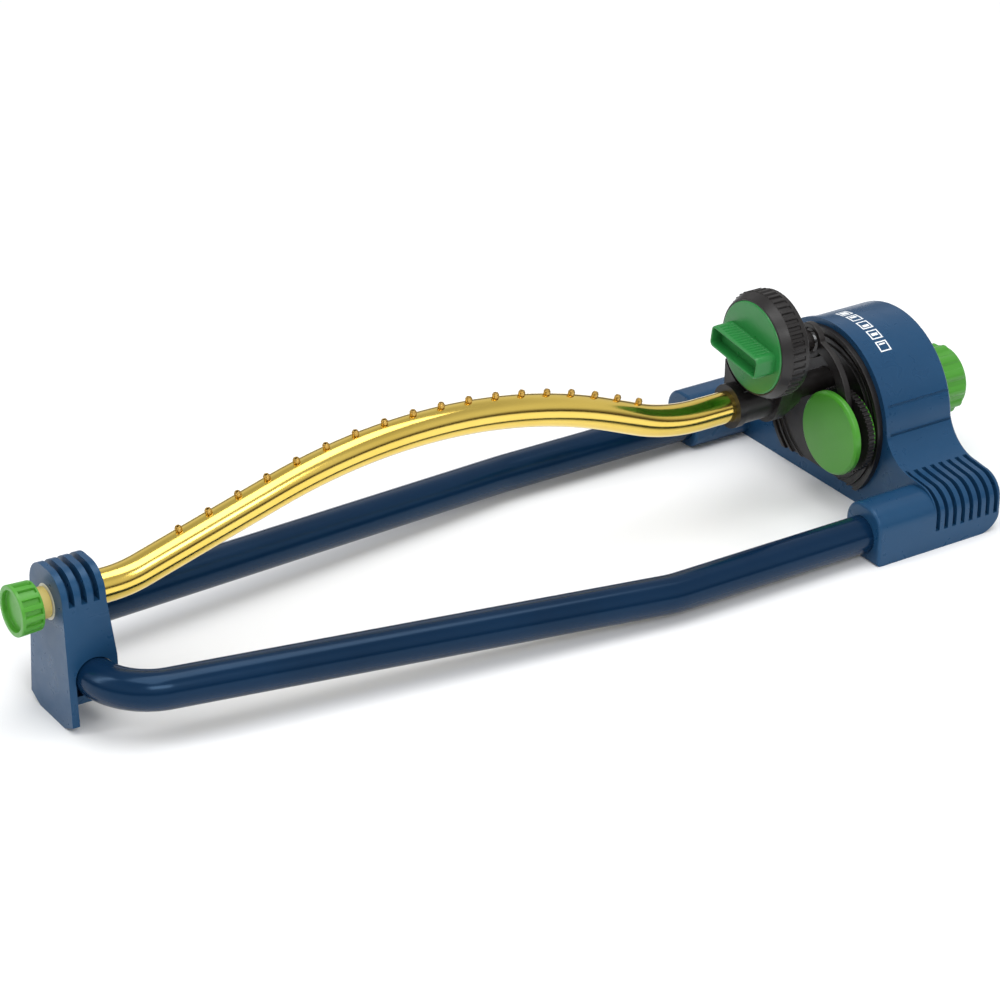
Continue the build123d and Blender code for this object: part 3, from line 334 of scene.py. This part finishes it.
def moulded(name, dark, light, gloss, grain, depth, tint="FFFFFF"):
    """Moulded plastic: two close tints in broad clouds, a gloss range varied by handling marks, and
    a moulded-in grain with a size and a depth in metres. The tint colours the highlights."""
    made, tree, shader = material(name, IOR=1.5, Specular_Tint=linear(tint))
    place = add(tree, "TexCoord").outputs["Object"]
    cloud = add(tree, "TexNoise", {"Vector": place, "Scale": 1 / MOULD_CLOUD,
                                   "Detail": 4.0}).outputs["Fac"]
    marks = add(tree, "TexNoise", {"Vector": place, "Scale": 1 / MOULD_MARKS, "Detail": 7.0,
                                   "Distortion": 1.2}).outputs["Fac"]
    rough = add(tree, "TexNoise", {"Vector": place, "Scale": 1 / grain, "Detail": 2.0}).outputs["Fac"]
    tree.links.new(blend(tree, cloud, linear(dark), linear(light)), shader.inputs["Base Color"])
    tree.links.new(add(tree, "MapRange", {"Value": marks, "From Min": 0.3, "From Max": 0.7,
                                          "To Min": gloss[0], "To Max": gloss[1]}).outputs[0],
                   shader.inputs["Roughness"])
    tree.links.new(add(tree, "Bump", {"Height": rough, "Strength": 0.5, "Distance": depth}).outputs[0],
                   shader.inputs["Normal"])
    return made


# Satin moulded blue: soft broad highlights broken by a fine grain (real grain about 0.3 mm, drawn
# nearly four times coarser so that it shows).
blue = moulded("satin_moulded_blue", "16395A", "1E486C", (0.25, 0.38), 1.1 * mm, 0.010 * mm, "B5D2EE")
install(soften("end_bracket", BRACKET_EDGE, "moulded_bracket"), "end_bracket", blue)
install(soften("bracket_clamp", STRAP_EDGE, "moulded_strap"), "bracket_clamp", blue)


def metal(name, dark, light, gloss, stretch, size, depth):
    """Metal: two tints and a gloss range that vary in marks of a size, drawn out along one axis by
    stretch, with a bump of that depth in metres."""
    made, tree, shader = material(name, Metallic=1.0)
    place = add(tree, "Mapping", {"Vector": add(tree, "TexCoord").outputs["Object"], "Scale": stretch})
    marks = add(tree, "TexNoise", {"Vector": place.outputs[0], "Scale": 1 / size,
                                   "Detail": 5.0}).outputs["Fac"]
    tree.links.new(blend(tree, marks, linear(dark), linear(light)), shader.inputs["Base Color"])
    tree.links.new(add(tree, "MapRange", {"Value": marks, "To Min": gloss[0],
                                          "To Max": gloss[1]}).outputs[0], shader.inputs["Roughness"])
    tree.links.new(add(tree, "Bump", {"Height": marks, "Strength": 0.4, "Distance": depth}).outputs[0],
                   shader.inputs["Normal"])
    return made


# Bright zinc-plated steel: a cool grey with faint grinding marks across the bar.
steel = metal("zinc_plated_steel", "9DA0A2", "C9CBCC", (0.22, 0.4), (6, 1, 1), 1.5 * mm, 0.01 * mm)
install(soften("clamp_screws", STRAP_SCREW_EDGE, "plated_strap_screws", 2), "clamp_screws", steel)

# ---- Spray tube -----------------------------------------------------------------------------
# A drawn aluminium tube bent into a low arch and anodised bright gold, with eighteen turned brass
# jets pressed into its crest.
SPRAY_RADIUS = 8.0 * mm
SPRAY_BORE = 7.0 * mm
SPRAY_ROUTE = ((-235.0, 59.0), (-211.3, 59.0), (-39.5, 109.9), (87.1, 59.0), (142.0, 59.0))
SPRAY_BENDS = (60 * mm, 285 * mm, 100 * mm)
DIE_LINES, GOLD_CLOUD = 0.5 * mm, 30 * mm
JET_COUNT = 18
JET_START = 55.0 * mm
JET_PITCH = 16.1 * mm
JET_CLOSING = 0.14 * mm
JET_PROFILE = ((0.0, 8.8, 0.0), (0.6, 8.8, 0.0), (0.6, 10.6, 0.25), (1.3, 10.6, 0.3), (1.3, 9.9, 0.1),
               (1.7, 9.9, 0.25), (1.7, 8.1, 0.15), (1.3, 8.1, 0.0), (1.3, 6.9, 0.0), (0.0, 6.9, 0.0))
JET_AROUND = 32
FILLET_STEPS = 4


def rounded(corners):
    """Points along an outline given as (a, b, fillet) in millimetres. A corner with a fillet f is
    cut back by f on both sides and crossed by (1-t)^2 start + 2t(1-t) corner + t^2 end."""
    corners = np.array(corners, float)
    spots, fillets = corners[:, :2] * mm, corners[:, 2] * mm
    t = np.linspace(0, 1, FILLET_STEPS + 1)[:, None]
    points = []
    for before, spot, after, fillet in zip(np.roll(spots, 1, 0), spots, np.roll(spots, -1, 0), fillets):
        if fillet == 0:
            points.append(spot[None])
            continue
        start = spot + (before - spot) * (fillet / np.linalg.norm(before - spot))
        end = spot + (after - spot) * (fillet / np.linalg.norm(after - spot))
        points.append((1 - t) ** 2 * start + 2 * t * (1 - t) * spot + t ** 2 * end)
    return np.vstack(points)


places, headings = bend([(x * mm, 0, z * mm) for x, z in SPRAY_ROUTE], SPRAY_BENDS)
rings, section = pipe(places, headings, SPRAY_RADIUS, SPRAY_BORE)
golden_tube = skin("anodised_spray_tube", [rings], section=section)

# Bright gold anodising: a warm mirror-like metal whose reflections are drawn out by die lines
# along the tube (real lines about 0.05 mm apart, drawn ten times wider so that they show).
gold, tree, shader = material("bright_gold_anodised", Metallic=1.0)
held = add(tree, "Attribute", attribute_name="section").outputs["Vector"]
place = add(tree, "Mapping", {"Vector": held, "Scale": (1, 1, 0.01)})
lines = add(tree, "TexNoise", {"Vector": place.outputs[0], "Scale": 1 / DIE_LINES,
                               "Detail": 3.0}).outputs["Fac"]
cloud = add(tree, "TexNoise", {"Vector": add(tree, "TexCoord").outputs["Object"],
                               "Scale": 1 / GOLD_CLOUD, "Detail": 4.0}).outputs["Fac"]
tree.links.new(blend(tree, cloud, linear("EBC85A"), linear("F4D873")), shader.inputs["Base Color"])
tree.links.new(add(tree, "MapRange", {"Value": lines, "To Min": 0.1, "To Max": 0.2}).outputs[0],
               shader.inputs["Roughness"])
tree.links.new(add(tree, "Bump", {"Height": lines, "Strength": 0.25, "Distance": 0.012 * mm}).outputs[0],
               shader.inputs["Normal"])
install(golden_tube, "spray_tube", gold)

# Each jet is its outline of (radius, height) turned about the outward line: foot + height * out
# + radius * (cos a * along + sin a * across).
lengths = np.concatenate([[0], np.cumsum(np.linalg.norm(np.diff(places, axis=0), axis=1))])
count = np.arange(JET_COUNT)
spots = JET_START + JET_PITCH * count - JET_CLOSING * count * (count - 1) / 2
feet = np.stack([np.interp(spots, lengths, places[:, i]) for i in range(3)], 1)
ways = np.stack([np.interp(spots, lengths, headings[:, i]) for i in range(3)], 1)
outward = np.cross(ways, [0, 1.0, 0])
outward /= np.linalg.norm(outward, axis=1)[:, None]
outline = rounded(JET_PROFILE)
angle = np.linspace(0, 2 * math.pi, JET_AROUND, endpoint=False)[None, :, None]
jets = [foot + outline[:, None, 1:] * out
        + outline[:, None, :1] * (np.cos(angle) * way + np.sin(angle) * np.array([0, 1.0, 0]))
        for foot, way, out in zip(feet, ways, outward)]
# Turned brass: a warm yellow metal, finely mottled and a little dulled by water.
brass = metal("turned_brass", "A98238", "D9B566", (0.2, 0.36), (3, 3, 3), 2.2 * mm, 0.01 * mm)
install(skin("turned_brass_jets", jets), "nozzles", brass)

# ---- Bracket-end journal and cap ------------------------------------------------------------
# The spray tube's hollow journal turns in a white bush. A ribbed green screw cap with a sunk face
# closes it, with an amber ring between the cap and the bracket and a needle kept inside.
CAP_FRONT, CAP_BACK = -267.5, -256.5
CAP_FRONT_RADIUS, CAP_BACK_RADIUS = 12.0, 11.5
CAP_RECESS, CAP_RECESS_DEPTH = 9.6, 2.4
CAP_HOLLOW, CAP_HOLLOW_DEPTH = 6.05, 3.7
CAP_RIBS = 14
CAP_GROOVE = 1.3 * mm
CAP_AROUND = 336
GROOVE_FRONT, GROOVE_BACK = CAP_FRONT + 1.5, CAP_BACK - 0.9
GROOVE_EASE = 0.4
GROOVED_FROM = 11 * mm
SEAL_OUTLINE = ((-256.45, 7.35, 0.5), (-250.85, 7.35, 0.5), (-250.85, 6.05, 0.4), (-256.45, 6.05, 0.4))
SWING_AXIS = (0.0, 59.0)
BUSH_EDGE = 0.2 * mm
NEEDLE_EDGE = 0.1 * mm


def turned(corners, axis, swell=None, around=96):
    """Rings of a body turned about a line along X: (x, y + r cos a, z + r sin a), with the outline
    given as (x, r, fillet) and swell(x, r, a) adding ribs or lobes to the radius."""
    outline = rounded(corners)
    x, r = outline[:, :1], outline[:, 1:]
    a = np.linspace(0, 2 * math.pi, around, endpoint=False)[None]
    reach = r + (swell(x, r, a) if swell else 0 * a)
    return np.stack([x + 0 * a, axis[0] * mm + reach * np.cos(a), axis[1] * mm + reach * np.sin(a)], 2)


def cap_grooves(x, r, a):
    """Grooves between plain rims: their depth goes as 0.5 - 2.2 (cos(ribs * a) + 0.05), held between
    0 and 1, and eases in from either rim."""
    hollow = np.clip(0.5 - 2.2 * (np.cos(CAP_RIBS * a) + 0.05), 0, 1)
    ease = np.minimum(x - GROOVE_FRONT * mm, GROOVE_BACK * mm - x) / (GROOVE_EASE * mm)
    return -CAP_GROOVE * hollow * np.clip(ease, 0, 1) * (r > GROOVED_FROM)


# Satin moulded green: fresh leaf green, its ribs catching narrow highlights.
green = moulded("satin_moulded_green", "3F8F26", "4F9C30", (0.28, 0.4), 0.8 * mm, 0.015 * mm)
stations = np.sort(np.append(np.linspace(GROOVE_FRONT, GROOVE_BACK, 9),
                             [GROOVE_FRONT + GROOVE_EASE, GROOVE_BACK - GROOVE_EASE]))
side = np.interp(stations, (CAP_FRONT, CAP_BACK), (CAP_FRONT_RADIUS, CAP_BACK_RADIUS))
face_x, floor_x = CAP_FRONT + CAP_RECESS_DEPTH, CAP_FRONT + CAP_HOLLOW_DEPTH
cap_outline = [(face_x, 0, 0), (face_x, CAP_RECESS, 0.4), (CAP_FRONT, CAP_RECESS, 0.5),
               (CAP_FRONT, CAP_FRONT_RADIUS, 0.5), *[(x, r, 0) for x, r in zip(stations, side)],
               (CAP_BACK, CAP_BACK_RADIUS, 0.4), (CAP_BACK, CAP_HOLLOW, 0.3),
               (floor_x, CAP_HOLLOW, 0), (floor_x, 0, 0)]
cap = turned(cap_outline, SWING_AXIS, cap_grooves, CAP_AROUND)
install(skin("ribbed_end_cap", [cap]), "end_cap", green)
# Amber sealing ring: waxy pale yellow with a soft blurred sheen.
amber = moulded("amber_seal_ring", "C9B25F", "DCC87C", (0.35, 0.5), 0.7 * mm, 0.01 * mm)
install(skin("amber_ring", [turned(SEAL_OUTLINE, SWING_AXIS)], loop=True), "cap_seal", amber)
# Natural acetal: slippery off-white plastic with a soft sheen.
acetal = moulded("natural_acetal", "D9D7CC", "E6E4DA", (0.28, 0.4), 1.2 * mm, 0.008 * mm)
install(soften("bracket_bush", BUSH_EDGE, "acetal_bush", 2), "bracket_bush", acetal)
install(soften("tube_journal", BUSH_EDGE, "acetal_journal", 2), "tube_journal", acetal)
install(soften("cleaning_pin", NEEDLE_EDGE, "steel_needle", 2), "cleaning_pin", steel)

# ---- Swinging head --------------------------------------------------------------------------
# A black glass-filled nylon moulding: a sleeve over the spray tube, an arm up to the dial, and a
# hollow neck that turns in the motor. It carries the link's pin and the dial's stud.
HEAD_EDGE = 0.6 * mm
LINK_PIN_EDGE = 0.2 * mm
STUD_EDGE = 0.3 * mm

# Satin black nylon: near black with a brownish sheen and a fine glass-filled grain (real grain
# about 0.2 mm, drawn four times coarser so that it shows).
black = moulded("satin_black_nylon", "121011", "1D1918", (0.3, 0.44), 0.8 * mm, 0.02 * mm)
install(soften("manifold", HEAD_EDGE, "moulded_head"), "manifold", black)
install(soften("link_pin", LINK_PIN_EDGE, "steel_link_pin", 2), "link_pin", steel)
install(soften("dial_stud", STUD_EDGE, "moulded_dial_stud", 2), "dial_stud", black)

# ---- Pattern dial and knob ------------------------------------------------------------------
# A black wheel with a bevelled front and a knurled edge band, and a green face plate let into it
# with a hollow grip bar, open at the front and finely ridged along its long sides.
DIAL_AXIS = (-12.8, 95.3)
DIAL_OUTLINE = ((131.0, 5.3, 0), (131.0, 23.45, 0), (128.0, 23.45, 0.15), (128.0, 24.3, 0.4),
                (132.9, 26.8, 0.3), (133.0, 27.0, 0.1), (140.4, 27.0, 0.1), (140.5, 26.5, 0.1),
                (143.0, 26.5, 0.6), (143.0, 3.05, 0.2), (132.6, 3.05, 0), (132.6, 5.3, 0))
DIAL_TEETH = 44
DIAL_AROUND = 704
KNURL_FRONT, KNURL_BACK = 132.95 * mm, 140.45 * mm
KNURL_FROM = 26.9 * mm
KNURL_HALF, KNURL_SHIFT = 0.45 * mm, -0.26 * mm
PLATE_OUTLINE = ((130.9, 0, 0), (130.9, 23.4, 0.2), (127.4, 23.4, 0.9), (127.4, 0, 0))
GRIP_LENGTH, GRIP_WIDTH = 38.0 * mm, 12.0 * mm
GRIP_CORNER = 3.0 * mm
GRIP_TILT = math.radians(8)
GRIP_RIDGES = 17
GRIP_RIDGE = 0.35 * mm
GRIP_RIDGED = (118.5, 126.4)
GRIP_RIDGE_REACH = 15.5 * mm
GRIP_SIDE_FROM = 5 * mm
GRIP_LEAST_CORNER = 1 * mm
GRIP_POINTS = 900
GRIP_STATIONS = ((128.5, 0.0), (126.6, 0.0), (126.2, 0.05), (118.8, 0.1), (118.3, 0.15), (117.4, 0.2),
                 (116.8, 0.35), (116.5, 0.7), (116.5, 1.1), (116.8, 1.45), (117.4, 1.6), (122.5, 1.7))


def knurl(x, r, a):
    """Square-shouldered ridges on the edge band: half the height times 2.5 cos(teeth * a), held
    between -1 and 1, plus a shift."""
    band = (r > KNURL_FROM) & (x > KNURL_FRONT) & (x < KNURL_BACK)
    return band * (KNURL_HALF * np.clip(2.5 * np.cos(DIAL_TEETH * a), -1, 1) + KNURL_SHIFT)


def oblong(length, width, corner, count):
    """A rectangle with rounded corners as count points evenly spaced along its rim: four sides and
    four quarter circles, found by where each distance along the rim falls."""
    u0, v0 = length / 2 - corner, width / 2 - corner
    turn = np.radians(np.arange(0, 91, 10))
    starts = ((1, 1, 0), (-1, 1, math.pi / 2), (-1, -1, math.pi), (1, -1, 1.5 * math.pi))
    quarters = [(cu * u0 + corner * np.cos(turn + start), cv * v0 + corner * np.sin(turn + start))
                for cu, cv, start in starts]
    u = np.concatenate([q[0] for q in quarters] + [quarters[0][0][:1]])
    v = np.concatenate([q[1] for q in quarters] + [quarters[0][1][:1]])
    rim = np.concatenate([[0], np.cumsum(np.hypot(np.diff(u), np.diff(v)))])
    spots = np.linspace(0, rim[-1], count, endpoint=False)
    return np.interp(spots, rim, u), np.interp(spots, rim, v)


# The grip's sections are oblongs, each at an x and inset by so much: up the outside from the
# plate, over the rim and down into the hollow. Grooves are cut across the long outer sides.
grip = []
for x, inset in GRIP_STATIONS:
    inset *= mm
    u, v = oblong(GRIP_LENGTH - 2 * inset, GRIP_WIDTH - 2 * inset,
                  max(GRIP_CORNER - inset, GRIP_LEAST_CORNER), GRIP_POINTS)
    if GRIP_RIDGED[0] < x < GRIP_RIDGED[1]:
        groove = np.clip(1.5 * np.cos(2 * math.pi * GRIP_RIDGES * u / GRIP_LENGTH), -1, 1) * 0.5 - 0.5
        ridged = (np.abs(u) < GRIP_RIDGE_REACH) & (np.abs(v) > GRIP_SIDE_FROM)
        v = v + np.sign(v) * groove * GRIP_RIDGE * ridged
    y = DIAL_AXIS[0] * mm + u * math.cos(GRIP_TILT) - v * math.sin(GRIP_TILT)
    z = DIAL_AXIS[1] * mm + u * math.sin(GRIP_TILT) + v * math.cos(GRIP_TILT)
    grip.append(np.stack([x * mm + 0 * y, y, z], 1))
wheel = turned(DIAL_OUTLINE, DIAL_AXIS, knurl, DIAL_AROUND)
install(skin("knurled_dial", [wheel], loop=True), "pattern_dial", black)
# Satin moulded knob green: a cooler, deeper green than the cap, with soft narrow highlights.
knob_green = moulded("satin_knob_green", "1F7434", "2B8340", (0.26, 0.4), 0.8 * mm, 0.015 * mm)
install(skin("grip_knob", [turned(PLATE_OUTLINE, DIAL_AXIS), np.stack(grip)]), "knob", knob_green)

# ---- Crank and link -------------------------------------------------------------------------
# Two crank webs with a bowed link between them. The front web is a plain green disc, the rear one
# a finely toothed black wheel on a green disc; steel pins join them.
CRANK_AXIS = (-24.5, 42.3)
DISC_OUTLINE = ((169.9, 0, 0), (169.9, 20.3, 0.5), (171.2, 21.6, 0.5), (173.7, 21.6, 0.4), (173.7, 0, 0))
BACK_DISC_OUTLINE = ((182.15, 0, 0), (182.15, 19.5, 0.2), (184.5, 19.5, 0.5), (184.5, 0, 0))
DISC_AROUND = 192
TOOTH_EDGE = 0.12 * mm
LINK_EDGE = 0.55 * mm
CRANK_PIN_EDGE = 0.15 * mm

front_web = turned(DISC_OUTLINE, CRANK_AXIS, None, DISC_AROUND)
rear_web = turned(BACK_DISC_OUTLINE, CRANK_AXIS, None, DISC_AROUND)
install(skin("green_crank_disc", [front_web]), "crank_front_disc", green)
install(skin("green_rear_disc", [rear_web]), "crank_back_disc", green)
install(soften("crank_toothed_disc", TOOTH_EDGE, "toothed_crank_wheel", 2), "crank_toothed_disc", black)
install(soften("link_arm", LINK_EDGE, "moulded_link"), "link_arm", black)
install(soften("crank_pin", CRANK_PIN_EDGE, "steel_crank_pin", 2), "crank_pin", steel)
install(soften("crank_shaft", CRANK_PIN_EDGE, "steel_crank_shaft", 2), "crank_shaft", steel)

# ---- Motor casing ---------------------------------------------------------------------------
# One blue moulding: a drum between two wings with louvred shoulders, sockets for the frame's legs
# and a boss for the hose. White pictograms of watered areas are printed on top of the drum.
CASING_EDGE = 0.5 * mm
BASE_PLATE_EDGE = 0.25 * mm
SCREW_EDGE = 0.12 * mm
DRUM_AXIS_Z = 41.5 * mm
PRINT_RADIUS = 47.04 * mm
PRINT_THICK = 0.03 * mm
PRINT_FRONT = 199.5 * mm
PRINT_LENGTH = 6.8 * mm
PRINT_ANGLES = (80, 90, 100, 110, 120)
PRINT_HALF_ANGLE = 3.9
PRINT_LINE = 0.11
PRINT_STEPS = 8
INK_HOLES = 0.4 * mm
PRINT_FILLS = ((0.0, 1.0), (0.0, 0.5), (0.5, 1.0), (0.25, 0.75), (0.0, 0.25))

install(soften("motor_housing", CASING_EDGE, "moulded_casing"), "motor_housing", blue)


def print_patch(u0, u1, v0, v1, middle):
    """A printed patch on the drum: u runs back from the front of a pictogram, v across it, and a
    point is (x, radius * cos angle, centre height + radius * sin angle)."""
    x = PRINT_FRONT + PRINT_LENGTH * np.linspace(u0, u1, 2)[:, None]
    turn = np.radians(middle + PRINT_HALF_ANGLE * (2 * np.linspace(v0, v1, PRINT_STEPS)[None] - 1))
    return np.stack([x + 0 * turn, PRINT_RADIUS * np.cos(turn) + 0 * x,
                     DRUM_AXIS_Z + PRINT_RADIUS * np.sin(turn) + 0 * x], 2)


# Each pictogram is a box of four bars with a filled part inside it, all in shares of the box.
points, faces = [], []
line, inner = PRINT_LINE, 1 - 4 * PRINT_LINE
corner = np.arange(PRINT_STEPS - 1)
for middle, (start, end) in zip(PRINT_ANGLES, PRINT_FILLS):
    bars = [(0, line, 0, 1), (1 - line, 1, 0, 1), (line, 1 - line, 0, line),
            (line, 1 - line, 1 - line, 1),
            (2 * line, 1 - 2 * line, 2 * line + inner * start, 2 * line + inner * end)]
    for bar in bars:
        quads = np.stack([corner, corner + 1, corner + 1 + PRINT_STEPS, corner + PRINT_STEPS], 1)
        faces += (quads + len(points) * 2 * PRINT_STEPS).tolist()
        points.append(print_patch(*bar, middle).reshape(-1, 3))
print_mesh = bpy.data.meshes.new("printed_pictograms")
print_mesh.from_pydata(np.vstack(points).tolist(), [], faces)
pictograms = bpy.data.objects.new("printed_pictograms", print_mesh)
bpy.context.scene.collection.objects.link(pictograms)
ink_body = pictograms.modifiers.new("ink_thickness", "SOLIDIFY")
ink_body.thickness = PRINT_THICK
# White pad print: matt ink with pinholes about 0.4 mm across where the blue shows through.
ink, tree, shader = material("white_pad_print", Roughness=0.55)
place = add(tree, "TexCoord").outputs["Object"]
holes = add(tree, "TexNoise", {"Vector": place, "Scale": 1 / INK_HOLES, "Detail": 2.0}).outputs["Fac"]
worn = add(tree, "MapRange", {"Value": holes, "From Min": 0.28, "From Max": 0.34})
tree.links.new(blend(tree, worn.outputs[0], linear("5F7FA8"), linear("EDF1F4")),
               shader.inputs["Base Color"])
print_mesh.materials.append(ink)
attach(pictograms, "base")

install(soften("base_plate", BASE_PLATE_EDGE, "moulded_base_plate", 2), "base_plate", blue)
install(soften("base_screws", SCREW_EDGE, "plated_base_screws", 2), "base_screws", steel)
install(soften("cover_screws", SCREW_EDGE, "plated_cover_screws", 2), "cover_screws", steel)

# ---- Front cover ----------------------------------------------------------------------------
# A black disc with three raised rings that closes the drum and carries the bearings for the neck
# and the crank shaft, with a rubber ring round the neck behind it.
COVER_EDGE = 0.3 * mm
NECK_SEAL_EDGE = 0.2 * mm

install(soften("front_cover", COVER_EDGE, "ringed_cover"), "front_cover", black)
# Black rubber: matt, slightly powdery, with a soft blotchy bloom.
rubber = moulded("black_rubber", "141414", "242322", (0.6, 0.8), 1.0 * mm, 0.03 * mm)
install(soften("journal_seal", NECK_SEAL_EDGE, "rubber_neck_seal", 2), "journal_seal", rubber)

# ---- Gear train and turbine -----------------------------------------------------------------
# Off-white acetal gears on steel axles between the cover and an inner plate, driven by a ten-vane
# water wheel behind the plate.
GEAR_EDGE = 0.12 * mm
PINION_EDGE = 0.1 * mm
WHEEL_EDGE = 0.2 * mm
AXLE_EDGE = 0.15 * mm

install(soften("output_gear", GEAR_EDGE, "acetal_output_gear", 2), "output_gear", acetal)
install(soften("idler_gear", GEAR_EDGE, "acetal_idler_gear", 2), "idler_gear", acetal)
install(soften("turbine_pinion", PINION_EDGE, "acetal_turbine_pinion", 2), "turbine_pinion", acetal)
install(soften("turbine_wheel", WHEEL_EDGE, "acetal_turbine_wheel", 2), "turbine_wheel", acetal)
install(soften("gear_plate", WHEEL_EDGE, "acetal_gear_plate", 2), "gear_plate", acetal)
install(soften("idler_axle", AXLE_EDGE, "steel_idler_axle", 2), "idler_axle", steel)
install(soften("turbine_shaft", AXLE_EDGE, "steel_turbine_shaft", 2), "turbine_shaft", steel)

# ---- Hose inlet -----------------------------------------------------------------------------
# A black spigot with a steel mesh filter, and on it a green swivel nut with twelve finger lobes,
# a rubber washer and the female hose thread.
INLET_AXIS = (0.0, 40.0)
NUT_FRONT, NUT_REAR = 241.0, 267.5
NUT_RIM, NUT_BORE, NUT_HOLE = 16.8, 13.2, 8.7
NUT_FLOOR = 245.0
NUT_SIDE_FROM = 16 * mm
NUT_EASE = 1.4
NUT_STEP, NUT_STEPS = 0.3, 6
NUT_AROUND = 288
NUT_LOBES = 12
LOBE_RADIUS = 3.4 * mm
LOBE_CENTRE = 15.0 * mm
THREAD_START, THREAD_RADIUS = 256.7, 12.55
THREAD_PITCH = 2.209 * mm
THREAD_DEPTH = 0.9 * mm
THREAD_STEP, THREAD_STEPS = 0.2, 51
THREAD_END, THREAD_LAST = NUT_REAR - 0.6, NUT_REAR - 1.0
STEM_EDGE = 0.3 * mm
MESH_EDGE = 0.05 * mm
WASHER_EDGE = 0.4 * mm


def nut_shape(x, r, a):
    """Outside, lobes of radius f centred c from the axis: c cos d + sqrt(f^2 - c^2 sin^2 d), with d
    the angle from the nearest lobe. Inside, a thread: a wave in x/pitch minus the turn."""
    pitch = 2 * math.pi / NUT_LOBES
    d = (a + pitch / 2) % pitch - pitch / 2
    across = LOBE_CENTRE * np.sin(d)
    lobe = LOBE_CENTRE * np.cos(d) + np.sqrt(np.maximum(LOBE_RADIUS ** 2 - across ** 2, 0))
    inset = np.minimum(x / mm - NUT_FRONT, NUT_REAR - x / mm) - NUT_EASE
    swell = np.sqrt(1 - (1 - np.clip(inset / NUT_EASE, 0, 1)) ** 2)
    outside = (r > NUT_SIDE_FROM) * np.maximum(lobe - NUT_RIM * mm, 0) * swell
    thread = np.abs(r - THREAD_RADIUS * mm) < 1e-7
    thread = thread & (x > THREAD_START * mm) & (x < THREAD_LAST * mm)
    return outside + thread * THREAD_DEPTH * (0.5 + 0.5 * np.cos(2 * math.pi * x / THREAD_PITCH - a))


undercut = THREAD_START - 0.1
rear_ease = NUT_REAR - NUT_EASE - NUT_STEP * (NUT_STEPS - 1)
nut_outline = [(NUT_FRONT, NUT_HOLE, 0.3), (NUT_FRONT, NUT_RIM, 1.1)]
nut_outline += [(NUT_FRONT + NUT_EASE + NUT_STEP * i, NUT_RIM, 0) for i in range(NUT_STEPS)]
nut_outline += [(rear_ease + NUT_STEP * i, NUT_RIM, 0) for i in range(NUT_STEPS)]
nut_outline += [(NUT_REAR, NUT_RIM, 1.1), (NUT_REAR, THREAD_RADIUS, 0.3)]
nut_outline += [(THREAD_END - THREAD_STEP * i, THREAD_RADIUS, 0) for i in range(THREAD_STEPS)]
nut_outline += [(undercut, THREAD_RADIUS, 0), (undercut, NUT_BORE, 0), (NUT_FLOOR, NUT_BORE, 0.3),
                (NUT_FLOOR, NUT_HOLE, 0.2)]
nut = turned(nut_outline, INLET_AXIS, nut_shape, NUT_AROUND)
install(skin("lobed_hose_nut", [nut], loop=True), "hose_nut", green)
install(soften("inlet_stem", STEM_EDGE, "moulded_inlet_stem", 2), "inlet_stem", black)
install(soften("inlet_filter", MESH_EDGE, "steel_mesh_filter", 1), "inlet_filter", steel)
install(soften("hose_washer", WASHER_EDGE, "rubber_hose_washer", 2), "hose_washer", rubber)
